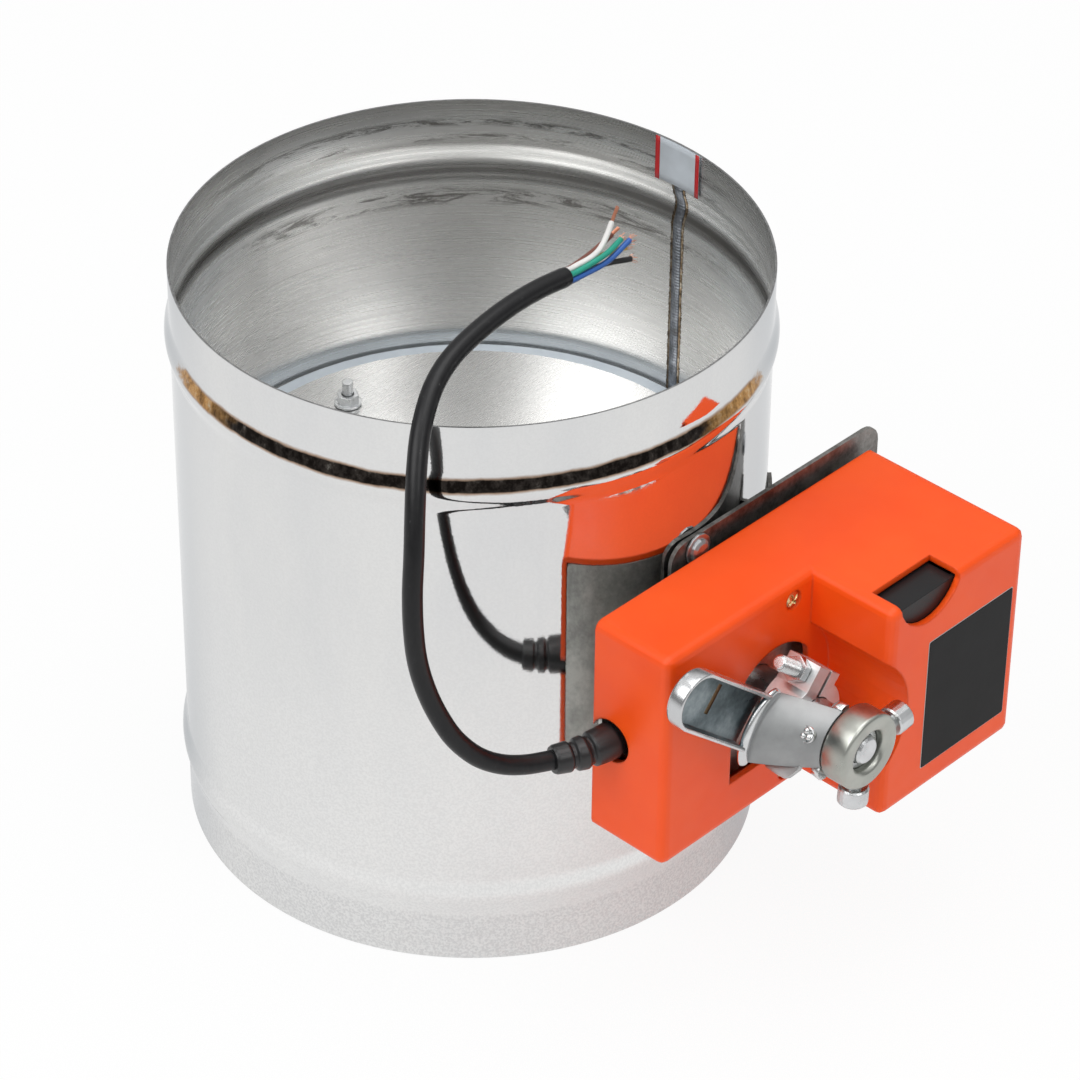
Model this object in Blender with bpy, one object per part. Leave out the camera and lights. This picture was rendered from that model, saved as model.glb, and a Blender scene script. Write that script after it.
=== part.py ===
"""Motorized round damper: a steel duct section, its turning blade, a clamp-on gear actuator and its lead.

Metres, +Z up. X runs along the blade shaft towards the actuator, and the duct stands on its rim.
"""
import bmesh
import bpy
from math import asin, ceil, cos, pi, radians, sin, sqrt
from mathutils import Matrix, Vector

MM = 0.001
GAP = 0.3 * MM
CUT_OVER = 1.0 * MM

# Duct
DUCT_D = 200 * MM
DUCT_WALL = 0.8 * MM
DUCT_H = 218 * MM
BEAD_RISE = 1.8 * MM
BEAD_HALF = 8.0 * MM
TOP_BEAD_DROP = 25 * MM
BOTTOM_BEAD_RISE = 27 * MM
DUCT_STEPS = 60

# Shaft and blade
SHAFT_D = 10 * MM
SHAFT_Z = DUCT_H / 2
SHAFT_REAR_OUT = 8 * MM
BUSH_WALL = 2.3 * MM
BUSH_FLANGE_W = 3.4 * MM
BUSH_FLANGE_T = 1.2 * MM
BUSH_INSIDE = 0.6 * MM
CLIP_T = 0.8 * MM
CLIP_W = 2.6 * MM
CLIP_GROOVE = 0.6 * MM
BLADE_GAP = 1.0 * MM
BLADE_T = 1.0 * MM
BLADE_INSET = 6.2 * MM
GASKET_T = 2.0 * MM
GASKET_W = 18 * MM
STRAP_INSET = 28 * MM
STRAP_W = 16 * MM
STRAP_T = 1.5 * MM
STUD_Y = 11 * MM
STUD_D = 4 * MM
STUD_OUT = 9 * MM
NUT_T = 3.2 * MM
NUT_FLANGE_T = 0.8 * MM
NUT_FLANGE_OUT = 0.9 * MM
SMALL_NUT = 7 * MM

# Mounting plate
PLATE_T = 1.5 * MM
PLATE_Y0 = -12 * MM
PLATE_Y1 = 91 * MM
PLATE_HALF_H = 47 * MM
PLATE_CORNER = 7 * MM
PLATE_SCREW_Z = 42 * MM
PLATE_SCREW_D = 4 * MM
PLATE_SCREW_FLANGE = 5.6 * MM
BRACKET_Y = 60 * MM
BRACKET_W = 40 * MM
BRACKET_FLANGE = 13 * MM
BRACKET_FOOT = radians(9)
BASE_SCREW_IN_Y = 8 * MM
BASE_SCREW_IN_Z = 10.8 * MM
BASE_SCREW_OUT = 2 * MM
BOSS_D = 8 * MM
BOSS_T = 3.1 * MM

# Actuator housing
HOUSING_Y0 = -51.8 * MM
HOUSING_STEP_Y = 17 * MM
HOUSING_Y1 = 84 * MM
HOUSING_HALF_H = 41.8 * MM
THIN_DEPTH = 31.5 * MM
THICK_DEPTH = 65.5 * MM
HOUSING_WALL = 2.2 * MM
HOUSING_ROUND = 3.0 * MM
BASE_T = 1.5 * MM
ARCH_R = 20 * MM
ARCH_DROP = 25 * MM
RECESS_R = 27.5 * MM
GLAND_R = 8 * MM
GLAND_X = 7.5 * MM
GLAND_Z = -2 * MM
COVER_SCREW_Y = 8 * MM
COVER_SCREW_IN_Z = 6.8 * MM
COVER_SCREW_HEAD_D = 6.6 * MM
COVER_SCREW_D = 3.2 * MM
SCREW_SINK = 1.2 * MM
COVER_SCREW_GRIP = 6 * MM
POST_D = 7 * MM
POST_HOLE = 9 * MM

# Release button
BUTTON_Y = 36 * MM
BUTTON_W = 28 * MM
BUTTON_H = 9 * MM
BUTTON_DROP = 3 * MM
BUTTON_SIGHT = 13 * MM
BUTTON_HIDDEN = 7 * MM
BUTTON_TRAVEL = 5 * MM
BUTTON_FLANGE = 1.6 * MM
BUTTON_FLANGE_OUT = 1.5 * MM
STEM_D = 5 * MM
SPRING_WIRE = 0.8 * MM
SPRING_D = 8.4 * MM
SPRING_TURNS = 5

# Gear train, driven from the motor to the sleeve
MODULE = 1.0 * MM
FAST_MODULE = 0.75 * MM
BACKLASH = 0.14
OUTPUT_TEETH = 40
SECOND_WHEEL_TEETH = 35
SECOND_PINION_TEETH = 14
FIRST_WHEEL_TEETH = 40
FIRST_PINION_TEETH = 12
MOTOR_TEETH = 12
SECOND_ANGLE = radians(-5)
FIRST_ANGLE = radians(-35)
MOTOR_ANGLE = radians(70)
WHEEL_T = 3.5 * MM
LEVEL_GAP = 1.5 * MM
FIRST_LEVEL = 2.7 * MM
AXLE_D = 4 * MM
FRAME_T = 1.5 * MM
FRAME_X = 22 * MM
FRAME_IN_Y0 = 9.8 * MM
FRAME_IN_Y1 = 4 * MM
FRAME_TO_POST = 0.5 * MM
PILLAR_D = 6 * MM
PILLAR_IN_Y = 5 * MM
REAR_PILLAR_IN_Z = 5 * MM
FRONT_PILLAR_IN_Z = 13 * MM
MOTOR_D = 43 * MM
MOTOR_T = 13.5 * MM
BOARD_X = 16 * MM
BOARD_T = 1.6 * MM
BOARD_Y0 = 44 * MM
BOARD_IN = 3 * MM
BOARD_POST_IN = 3.5 * MM
BOARD_POST_D = 4 * MM
CAPACITOR = (12 * MM, 26 * MM, 18 * MM)
CAM_R = 14 * MM
CAM_T = 3 * MM
SWITCH = (6.2 * MM, 20 * MM, 10 * MM)
SWITCH_Z = 9 * MM
PLUNGER_OFF = 2.4 * MM
PLUNGER_HALF = 1.2 * MM
TERMINAL = (9 * MM, 14 * MM)
TERMINAL_IN = 14 * MM
TERMINAL_WAYS = 6

# Output sleeve and its clamp
SLEEVE_R = 8 * MM
SLEEVE_NECK_R = 7 * MM
NECK_LENGTH = 17 * MM
SLEEVE_OUT = 4 * MM
SHAFT_OUT = 2.5 * MM
LEVER_ANGLE = radians(139.3)
JAW_X = 4 * MM
JAW_LENGTH = 13 * MM
JAW_WALL = 5 * MM
EAR_OUT = 17 * MM
EAR_U0 = -2 * MM
EAR_U1 = 11 * MM
EAR_SLOT = 1.6 * MM
EAR_SLOT_U = 3 * MM
CLAMP_BOLT_W = 12.6 * MM
CLAMP_BOLT_D = 5 * MM
CLAMP_BOLT_HEAD_D = 7.8 * MM
CLAMP_BOLT_HEAD_T = 3.4 * MM
CLAMP_BOLT_END = 25 * MM
CLAMP_NUT = 8 * MM
LEVER_X = 8 * MM
LEVER_T = 1.5 * MM
LEVER_SLOT_HALF = 5.5 * MM
LEVER_SLOT_W = 1.4 * MM
LEVER_SLOT_BACK = 9 * MM
LEVER_RIM = 6 * MM
LEVER_HALF_W = 10.2 * MM
LEVER_OFFSET = -8 * MM
LEVER_ROOT = 20.5 * MM
LEVER_END = 61 * MM
SADDLE_T = 1.6 * MM
SADDLE_R = 13.2 * MM
SADDLE_LIP_R = 18 * MM
SADDLE_LIP_U = 2.5 * MM
SADDLE_HALF_ANGLE = radians(95)
SADDLE_LIP_HALF_ANGLE = radians(36)
COLLAR_R = 13.6 * MM
COLLAR_W = 10 * MM
COLLAR_OUT = 3.6 * MM
COLLAR_SCREW_ANGLES = (radians(4), radians(-94))
COLLAR_SCREW_D = 5 * MM
COLLAR_HEAD_D = 10.2 * MM
COLLAR_HEAD_IN = 15.4 * MM
COLLAR_HEAD_OUT = 22 * MM

# Lead: the routes are in lead diameters. The relief's points are measured from the gland. Each cable point is
# the share of the straight way from the gland to the rim crossing, then x, y and z off that line. The cores'
# fan and tips are measured from the end of the jacket. The relief's profile is (share of its length, diameter).
CABLE_D = 6.6 * MM
RIM_CROSSING = (0.61, -0.80)
RELIEF_D = 12.6 * MM
RELIEF_PROFILE = ((0, 0.84), (0.22, 0.84), (0.24, 1), (0.5, 0.94), (0.52, 0.76), (0.57, 0.76), (0.59, 0.9),
                  (0.71, 0.86), (0.73, 0.69), (0.78, 0.69), (0.8, 0.81), (1, 0.73))
RELIEF_ROUTE = ((0, 1.106, -0.015), (-0.045, 0.121, -0.045), (-0.379, -1.242, -0.136),
                (-0.712, -2.091, -0.152), (-0.977, -2.712, -0.136))
CABLE_ROUTE = ((0, -1.045, -2.879, -0.121), (0.01, -1.467, -4.321, -0.017), (0.04, -1.715, -5.435, -0.036),
               (0.08, -1.945, -6.325, 0.079), (0.16, -1.891, -6.877, -0.024),
               (0.24, -1.745, -7.111, 0.055), (0.33, -1.445, -7.135, 0.056), (0.43, -0.976, -6.966, 0.041),
               (0.54, -0.321, -6.541, -0.067), (0.65, 0.273, -5.859, -0.023), (0.76, 0.761, -4.889, 0.021),
               (0.87, 0.976, -3.677, 0.005), (0.96, 0.912, -2.398, 0.006), (1, 0.394, -1.091, 0.591),
               (1, -0.455, 0.515, 1.682), (1, -1, 2.273, 2.333), (1, -1.348, 4.47, 2.697),
               (1, -1.576, 6.818, 2.864), (1, -1.667, 8.909, 2.848), (1, -1.667, 10.864, 2.682))
CABLE_STEP = 2.7
CORE_D = 1.9 * MM
CORE_RING = 0.334
CORE_FAN = (-0.061, 2.47, -0.015)
CORE_FAN_R = 0.44
CORES = (("core_black", (0.682, 4.742, -0.636), (0.02, 0.02, 0.02)),
         ("core_blue", (0.394, 5.045, 0.121), (0.03, 0.2, 0.6)),
         ("core_brown", (-0.758, 4.97, 0.424), (0.25, 0.07, 0.03)),
         ("core_white", (-1.439, 4.894, 0.803), (0.8, 0.8, 0.78)),
         ("core_yellow", (-0.394, 5.273, -0.561), (0.85, 0.7, 0.05)),
         ("core_green", (0, 4.818, -0.182), (0.02, 0.3, 0.1)))

# Places that follow from the sizes; x is measured from the duct axis
DUCT_R = DUCT_D / 2
DUCT_IN = DUCT_R - DUCT_WALL
STRAP_X = DUCT_R - STRAP_INSET
SHAFT_R = SHAFT_D / 2
SHAFT_REAR = -(DUCT_R + SHAFT_REAR_OUT)
BORE_R = SHAFT_R + GAP
BUSH_R = BORE_R + BUSH_WALL
BUSH_HOLE_R = BUSH_R + GAP
PLATE_X0 = DUCT_R + GAP
PLATE_X1 = PLATE_X0 + PLATE_T
BOSS_X0 = PLATE_X1 + GAP
BASE_X0 = BOSS_X0 + BOSS_T + GAP
BASE_X1 = BASE_X0 + BASE_T
HOUSING_X0 = BASE_X0
THIN_X = HOUSING_X0 + THIN_DEPTH
THICK_X = HOUSING_X0 + THICK_DEPTH
SLEEVE_END = THICK_X + SLEEVE_OUT
SHAFT_END = SLEEVE_END + SHAFT_OUT
GLAND = Vector((HOUSING_X0 + GLAND_X, HOUSING_Y0, SHAFT_Z + GLAND_Z))
BASE_SCREW_Y = HOUSING_Y1 - BASE_SCREW_IN_Y
BASE_SCREW_Z = HOUSING_HALF_H - BASE_SCREW_IN_Z
COVER_SCREW_Z = HOUSING_HALF_H - COVER_SCREW_IN_Z
FRAME_Y0 = HOUSING_Y0 + FRAME_IN_Y0
FRAME_Y1 = HOUSING_Y1 - FRAME_IN_Y1
FRAME_HALF_H = COVER_SCREW_Z - POST_D / 2 - FRAME_TO_POST
PILLARS = [(y, side * (FRAME_HALF_H - inset)) for side in (-1, 1)
           for y, inset in ((FRAME_Y0 + PILLAR_IN_Y, REAR_PILLAR_IN_Z), (FRAME_Y1 - PILLAR_IN_Y, FRONT_PILLAR_IN_Z))]
BOARD_HALF_H = FRAME_HALF_H - BOARD_IN
BOARD_POST_Z = BOARD_HALF_H - BOARD_POST_IN
BOARD_POSTS = [(BOARD_Y0 + BOARD_POST_IN, -BOARD_POST_Z)]
BOARD_POSTS += [(FRAME_Y1 - BOARD_POST_IN, side * BOARD_POST_Z) for side in (-1, 1)]
TERMINAL_H = 2 * (FRAME_HALF_H - TERMINAL_IN)
FRAME_X0 = HOUSING_X0 + FRAME_X
FRAME_X1 = FRAME_X0 + FRAME_T
MOTOR_X0 = FRAME_X1 + GAP
BOARD_X0 = FRAME_X1 + BOARD_X
BUTTON_TOP = HOUSING_HALF_H - BUTTON_DROP
STEM_Z = BUTTON_TOP - BUTTON_H / 2 - GAP
BUTTON_BACK = THICK_X - BUTTON_SIGHT - BUTTON_HIDDEN
LEVEL = [BASE_X1 + FIRST_LEVEL + n * (WHEEL_T + LEVEL_GAP) for n in range(3)]
GEAR_REACH = 0.85
GEAR_ROOT = 1.2
SECOND_AT = (MODULE * (OUTPUT_TEETH + SECOND_PINION_TEETH) / 2, SECOND_ANGLE)
FIRST_AT = (MODULE * (SECOND_WHEEL_TEETH + FIRST_PINION_TEETH) / 2, FIRST_ANGLE)
MOTOR_AT = (FAST_MODULE * (FIRST_WHEEL_TEETH + MOTOR_TEETH) / 2, MOTOR_ANGLE)
COLLAR_X1 = SLEEVE_END + COLLAR_OUT
COLLAR_X0 = COLLAR_X1 - COLLAR_W
LEVER_X0 = THIN_X + LEVER_X
DUCT_X = -(SHAFT_REAR + COLLAR_X1) / 2
BLADE_Z = SHAFT_R + GAP
GASKET_Z = BLADE_Z + BLADE_T + GAP
UPPER_Z = GASKET_Z + GASKET_T + GAP
NUT_Z = UPPER_Z + BLADE_T + GAP
GASKET_R = sqrt((DUCT_IN * cos(pi / DUCT_STEPS) - BLADE_GAP / 2) ** 2 - (UPPER_Z + BLADE_T) ** 2)


def step_from(place, at):
    """The (y, z) point that lies a distance and an angle away from a place."""
    return (place[0] + at[0] * cos(at[1]), place[1] + at[0] * sin(at[1]))


SECOND_YZ = step_from((0, 0), SECOND_AT)
FIRST_YZ = step_from(SECOND_YZ, FIRST_AT)
MOTOR_YZ = step_from(FIRST_YZ, MOTOR_AT)


def clear_scene():
    for old in list(bpy.data.objects):
        bpy.data.objects.remove(old, do_unlink=True)


def material(name, color, metallic=0.0, roughness=0.5):
    """A Principled material, shared by every piece that asks for the same name."""
    found = bpy.data.materials.get(name)
    if found:
        return found
    made = bpy.data.materials.new(name)
    made.use_nodes = True
    shader = made.node_tree.nodes["Principled BSDF"]
    shader.inputs["Base Color"].default_value = (*color, 1)
    shader.inputs["Metallic"].default_value = metallic
    shader.inputs["Roughness"].default_value = roughness
    return made


def stainless():
    return material("stainless_sheet", (0.78, 0.78, 0.77), 1.0, 0.16)


def zinc():
    return material("zinc_plate", (0.66, 0.68, 0.69), 1.0, 0.3)


def galvanized():
    return material("galvanized_steel", (0.42, 0.43, 0.42), 0.9, 0.45)


def orange_plastic():
    return material("orange_plastic", (1.0, 0.1, 0.018), 0.0, 0.36)


def black_plastic():
    return material("black_plastic", (0.012, 0.012, 0.013), 0.0, 0.42)


def rubber():
    return material("gasket_rubber", (0.55, 0.6, 0.66), 0.0, 0.6)


def brass():
    return material("brass", (0.72, 0.5, 0.22), 1.0, 0.3)


def nylon():
    return material("white_nylon", (0.82, 0.8, 0.74), 0.0, 0.5)


def empty(name, place, parent=None):
    """A named axis that moving pieces hang from."""
    made = bpy.data.objects.new(name, None)
    bpy.context.collection.objects.link(made)
    made.location = place
    made.parent = parent
    return made


def add(name, bm, mat, parent):
    """Turn a bmesh into a named object with outward faces and smooth round sides."""
    bmesh.ops.remove_doubles(bm, verts=bm.verts, dist=1e-7)
    bmesh.ops.recalc_face_normals(bm, faces=bm.faces)
    mesh = bpy.data.meshes.new(name)
    bm.to_mesh(mesh)
    bm.free()
    made = bpy.data.objects.new(name, mesh)
    bpy.context.collection.objects.link(made)
    made.parent = parent
    if mat:
        mesh.materials.append(mat)
        mesh.shade_smooth()
        mesh.set_sharp_from_angle(angle=radians(35))
    return made


def helper(name, bm, parent):
    """A cutter or an added shape, which isn't a piece itself."""
    made = add(name, bm, None, parent)
    made.hide_render = True
    made.display_type = "WIRE"
    return made


def combine(piece, other, operation="DIFFERENCE"):
    step = piece.modifiers.new(other.name, "BOOLEAN")
    step.operation = operation
    step.object = other
    step.solver = "EXACT"
    return piece


def circle(radius, steps, center=(0, 0), start=0.0):
    turn = 2 * pi / steps
    return [(center[0] + radius * cos(start + n * turn), center[1] + radius * sin(start + n * turn))
            for n in range(steps)]


def arc(radius, start, end, steps, center=(0, 0)):
    return [(center[0] + radius * cos(start + (end - start) * n / steps),
             center[1] + radius * sin(start + (end - start) * n / steps)) for n in range(steps + 1)]


def prism(bm, outline, low, high, to_point):
    """Extrude a flat outline; to_point places (first, second, height) in space."""
    face = bm.faces.new([bm.verts.new(to_point(p, q, low)) for p, q in outline])
    lifted = bmesh.ops.extrude_face_region(bm, geom=[face])
    top = [v for v in lifted["geom"] if isinstance(v, bmesh.types.BMVert)]
    rise = Vector(to_point(0, 0, high)) - Vector(to_point(0, 0, low))
    bmesh.ops.translate(bm, verts=top, vec=rise)


def along_x(p, q, h):
    return (h, p, q)


def along_z(p, q, h):
    return (p, q, h)


def prism_x(outline, x0, x1, bm=None):
    bm = bm or bmesh.new()
    prism(bm, outline, x0, x1, along_x)
    return bm


def prism_z(outline, z0, z1, bm=None):
    bm = bm or bmesh.new()
    prism(bm, outline, z0, z1, along_z)
    return bm


def turned(profile, steps=32, axis=(1, 0, 0), center=(0, 0, 0)):
    """Spin a closed profile of (height along the axis, radius) about X or Z."""
    bm = bmesh.new()
    middle = Vector(center)
    verts = []
    for height, radius in profile:
        offset = Vector((height, radius, 0)) if axis[0] else Vector((radius, 0, height))
        verts.append(bm.verts.new(middle + offset))
    edges = []
    for n in range(len(verts)):
        if profile[n - 1][1] or profile[n][1]:
            edges.append(bm.edges.new((verts[n - 1], verts[n])))
    bmesh.ops.spin(bm, geom=verts + edges, cent=middle, axis=axis, angle=2 * pi, steps=steps, use_merge=True)
    bmesh.ops.remove_doubles(bm, verts=bm.verts, dist=1e-7)
    bmesh.ops.dissolve_degenerate(bm, edges=bm.edges, dist=1e-7)
    return bm


def rod_x(x0, x1, radius, center=(0, 0), steps=24, bm=None):
    return prism_x(circle(radius, steps, center), x0, x1, bm)


def drill(piece, name, x0, x1, radius, places, parent, steps=24):
    """Round holes along X at each (y, z) place."""
    bm = bmesh.new()
    for place in places:
        rod_x(x0, x1, radius, place, steps, bm)
    return combine(piece, helper(name, bm, parent))


def bead(middle, wall, steps=4):
    """The outward swelling rolled into the sheet, from its lower to its upper side."""
    points = []
    for n in range(steps + 1):
        turn = -pi / 2 + pi * n / steps
        rise = BEAD_RISE * (1 + cos(2 * turn)) / 2
        points.append((middle + BEAD_HALF * 2 * turn / pi, DUCT_R - wall + rise))
    return points


def rounded_rectangle(y0, y1, z0, z1, corner, steps=5):
    points = []
    for n, (y, z) in enumerate(((y1 - corner, z1 - corner), (y0 + corner, z1 - corner),
                                (y0 + corner, z0 + corner), (y1 - corner, z0 + corner))):
        points += arc(corner, n * pi / 2, (n + 1) * pi / 2, steps, (y, z))
    return points


def duct_casing(root):
    """The rolled sheet tube, open at both ends, with a bead near each rim."""
    def side(wall):
        return ([(0, DUCT_R - wall)] + bead(BOTTOM_BEAD_RISE, wall)
                + bead(DUCT_H - TOP_BEAD_DROP, wall) + [(DUCT_H, DUCT_R - wall)])
    profile = side(0) + side(DUCT_WALL)[::-1]
    casing = add("duct_casing", turned(profile, DUCT_STEPS, axis=(0, 0, 1)), stainless(), root)
    across = DUCT_R + CUT_OVER
    drill(casing, "cut_duct_bushes", -across, across, BUSH_HOLE_R, [(0, SHAFT_Z)], root)
    screws = [(0, SHAFT_Z + side * PLATE_SCREW_Z) for side in (-1, 1)]
    drill(casing, "cut_duct_screws", DUCT_IN - 3 * CUT_OVER, across, PLATE_SCREW_D / 2 + GAP, screws, root, 16)


def bushes(root):
    """Flanged bushes that carry the shaft in the two duct walls."""
    def bush(name, inside, seat, outside, sign):
        profile = [(inside, BORE_R), (inside, BUSH_R), (seat, BUSH_R), (seat, BUSH_R + BUSH_FLANGE_W),
                   (outside, BUSH_R + BUSH_FLANGE_W), (outside, BORE_R)]
        profile = [(sign * h, r) for h, r in profile]
        add(name, turned(profile, 24, center=(0, 0, SHAFT_Z)), nylon(), root)
    inside = DUCT_IN - BUSH_INSIDE
    bush("front_bush", inside, BOSS_X0, BOSS_X0 + BUSH_FLANGE_T, 1)
    bush("rear_bush", inside, DUCT_R + GAP, DUCT_R + GAP + BUSH_FLANGE_T, -1)


def upper_and_lower(y, z):
    """The two (y, z) places at one height above and below the shaft, with their names."""
    return (("upper", (y, SHAFT_Z + z)), ("lower", (y, SHAFT_Z - z)))


def mount_plate(root):
    """The flat plate fixed to the duct wall, which the actuator is screwed to."""
    outline = rounded_rectangle(PLATE_Y0, PLATE_Y1, SHAFT_Z - PLATE_HALF_H, SHAFT_Z + PLATE_HALF_H, PLATE_CORNER)
    plate = add("mount_plate", prism_x(outline, PLATE_X0, PLATE_X1), galvanized(), root)
    low, high = PLATE_X0 - CUT_OVER, PLATE_X1 + CUT_OVER
    drill(plate, "cut_plate_bush", low, high, BUSH_HOLE_R, [(0, SHAFT_Z)], root)
    screws = upper_and_lower(0, PLATE_SCREW_Z) + upper_and_lower(BASE_SCREW_Y, BASE_SCREW_Z)
    drill(plate, "cut_plate_screws", low, high, PLATE_SCREW_D / 2 + GAP, [place for _, place in screws], root, 16)


def pan_screw(seat, center, diameter, length, reach=1.0, flange=0.0, steps=12):
    """A pan-head screw whose head stands on seat, towards +X for reach 1 and -X for -1."""
    head_r = diameter
    head_t = diameter * 0.5
    shank = diameter / 2
    base = seat + reach * (0.8 * MM if flange else 0.0)
    profile = [(seat - reach * length, 0), (seat - reach * length, shank), (seat, shank)]
    if flange:
        profile += [(seat, flange), (base, flange)]
    profile += [(base, head_r), (base + reach * head_t * 0.45, head_r * 0.98),
                (base + reach * head_t * 0.85, head_r * 0.7), (base + reach * head_t, 0)]
    return turned(profile, steps, center=(0, *center))


def nut(hole_r, across, place, flange=True):
    """A hexagon nut, on its own washer flange or plain, whose seat is at the place's origin and axis its X."""
    bm = bmesh.new()
    low = NUT_FLANGE_T if flange else 0.0
    flange_r = across / sqrt(3) + NUT_FLANGE_OUT
    levels = [(low, across, None), (low + NUT_T, across, None), (low + NUT_T, 0, hole_r), (0, 0, hole_r)]
    if flange:
        levels += [(0, 0, flange_r), (low, 0, flange_r)]
    rings = []
    for x, flats, radius in levels:
        rings.append([])
        for n in range(12):
            r = radius or (flats / sqrt(3) if n % 2 == 0 else flats / 2)
            turn = n * pi / 6
            rings[-1].append(bm.verts.new(place @ Vector((x, r * cos(turn), r * sin(turn)))))
    for ring, after in zip(rings, rings[1:] + rings[:1]):
        for n in range(12):
            bm.faces.new((ring[n - 1], ring[n], after[n], after[n - 1]))
    return bm


def plate_fasteners(root):
    """Two washer-head screws with inside flange nuts clamp the plate to the duct wall."""
    head_x = PLATE_X1 + GAP
    seat_x = DUCT_IN - GAP
    length = head_x - seat_x + NUT_T + NUT_FLANGE_T + GAP
    for name, place in upper_and_lower(0, PLATE_SCREW_Z):
        screw = pan_screw(head_x, place, PLATE_SCREW_D, length, flange=PLATE_SCREW_FLANGE)
        add("plate_screw_" + name, screw, zinc(), root)
        seat = Matrix.Translation((seat_x, *place)) @ Matrix.Rotation(pi, 4, "Z")
        add("plate_nut_" + name, nut(PLATE_SCREW_D / 2 + GAP, SMALL_NUT, seat), zinc(), root)


def plate_bracket(root):
    """A folded foot, spot-welded to the duct, that holds the far side of the plate."""
    inner = DUCT_R + GAP
    outer = inner + PLATE_T
    flange_x = PLATE_X0 - GAP
    leg = BRACKET_Y + PLATE_T
    start = asin(BRACKET_Y / inner)
    foot = arc(inner, start, start + BRACKET_FOOT, 4)
    back = arc(outer, start + BRACKET_FOOT, asin(leg / outer), 4)
    outline = ([(flange_x, leg + BRACKET_FLANGE), (flange_x, BRACKET_Y)] + foot + back
               + [(flange_x - PLATE_T, leg), (flange_x - PLATE_T, leg + BRACKET_FLANGE)])
    bracket = prism_z(outline, SHAFT_Z - BRACKET_W / 2, SHAFT_Z + BRACKET_W / 2)
    add("plate_bracket", bracket, galvanized(), root)


def base_fasteners(root):
    """Screws from behind the plate into the bosses of the actuator's base."""
    length = BASE_X1 + BASE_SCREW_OUT - PLATE_X0
    for name, place in upper_and_lower(BASE_SCREW_Y, BASE_SCREW_Z):
        add("base_screw_" + name, pan_screw(PLATE_X0 - GAP, place, PLATE_SCREW_D, length, -1.0), zinc(), root)


def actuator_base(root):
    """The steel back plate inside the housing's rim, with its mounting bosses and cover posts."""
    inset = HOUSING_WALL + GAP
    outline = rounded_rectangle(HOUSING_Y0 + inset, HOUSING_Y1 - inset, SHAFT_Z - HOUSING_HALF_H + inset,
                                SHAFT_Z + HOUSING_HALF_H - inset, 2 * MM, 2)
    base = add("actuator_base", prism_x(outline, BASE_X0, BASE_X1), galvanized(), root)
    mounts = [place for _, place in upper_and_lower(BASE_SCREW_Y, BASE_SCREW_Z)]
    covers = [place for _, place in upper_and_lower(COVER_SCREW_Y, COVER_SCREW_Z)]
    post_end = THIN_X - HOUSING_WALL - GAP
    middle = (BASE_X0 + BASE_X1) / 2
    stands = bmesh.new()
    for place in mounts:
        rod_x(BOSS_X0, middle, BOSS_D / 2, place, 20, stands)
    for place in covers:
        rod_x(middle, post_end, POST_D / 2, place, 20, stands)
    combine(base, helper("add_base_stands", stands, root), "UNION")
    drill(base, "cut_base_sleeve", BASE_X0 - CUT_OVER, BASE_X1 + CUT_OVER, SLEEVE_R + GAP, [(0, SHAFT_Z)], root)
    drill(base, "cut_base_screws", BOSS_X0 - CUT_OVER, BASE_X1 + CUT_OVER, PLATE_SCREW_D / 2 + GAP, mounts, root, 16)
    drill(base, "cut_base_posts", post_end - POST_HOLE, post_end + CUT_OVER, COVER_SCREW_D / 2 + GAP, covers, root, 16)


def box_outline(y0, y1, z0, z1):
    return [(y0, z0), (y1, z0), (y1, z1), (y0, z1)]


def button_outline(widen=0.0, top=0.0):
    """The button's front: a flat top over a round lower edge."""
    width = BUTTON_W + 2 * widen
    depth = BUTTON_H + widen
    radius = (width ** 2 / 4 + depth ** 2) / (2 * depth)
    level = SHAFT_Z + BUTTON_TOP
    half = asin(width / 2 / radius)
    points = arc(radius, -pi / 2 - half, -pi / 2 + half, 10, (BUTTON_Y, level - depth + radius))
    if top:
        points += [(BUTTON_Y + width / 2, level + top), (BUTTON_Y - width / 2, level + top)]
    return points


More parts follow.
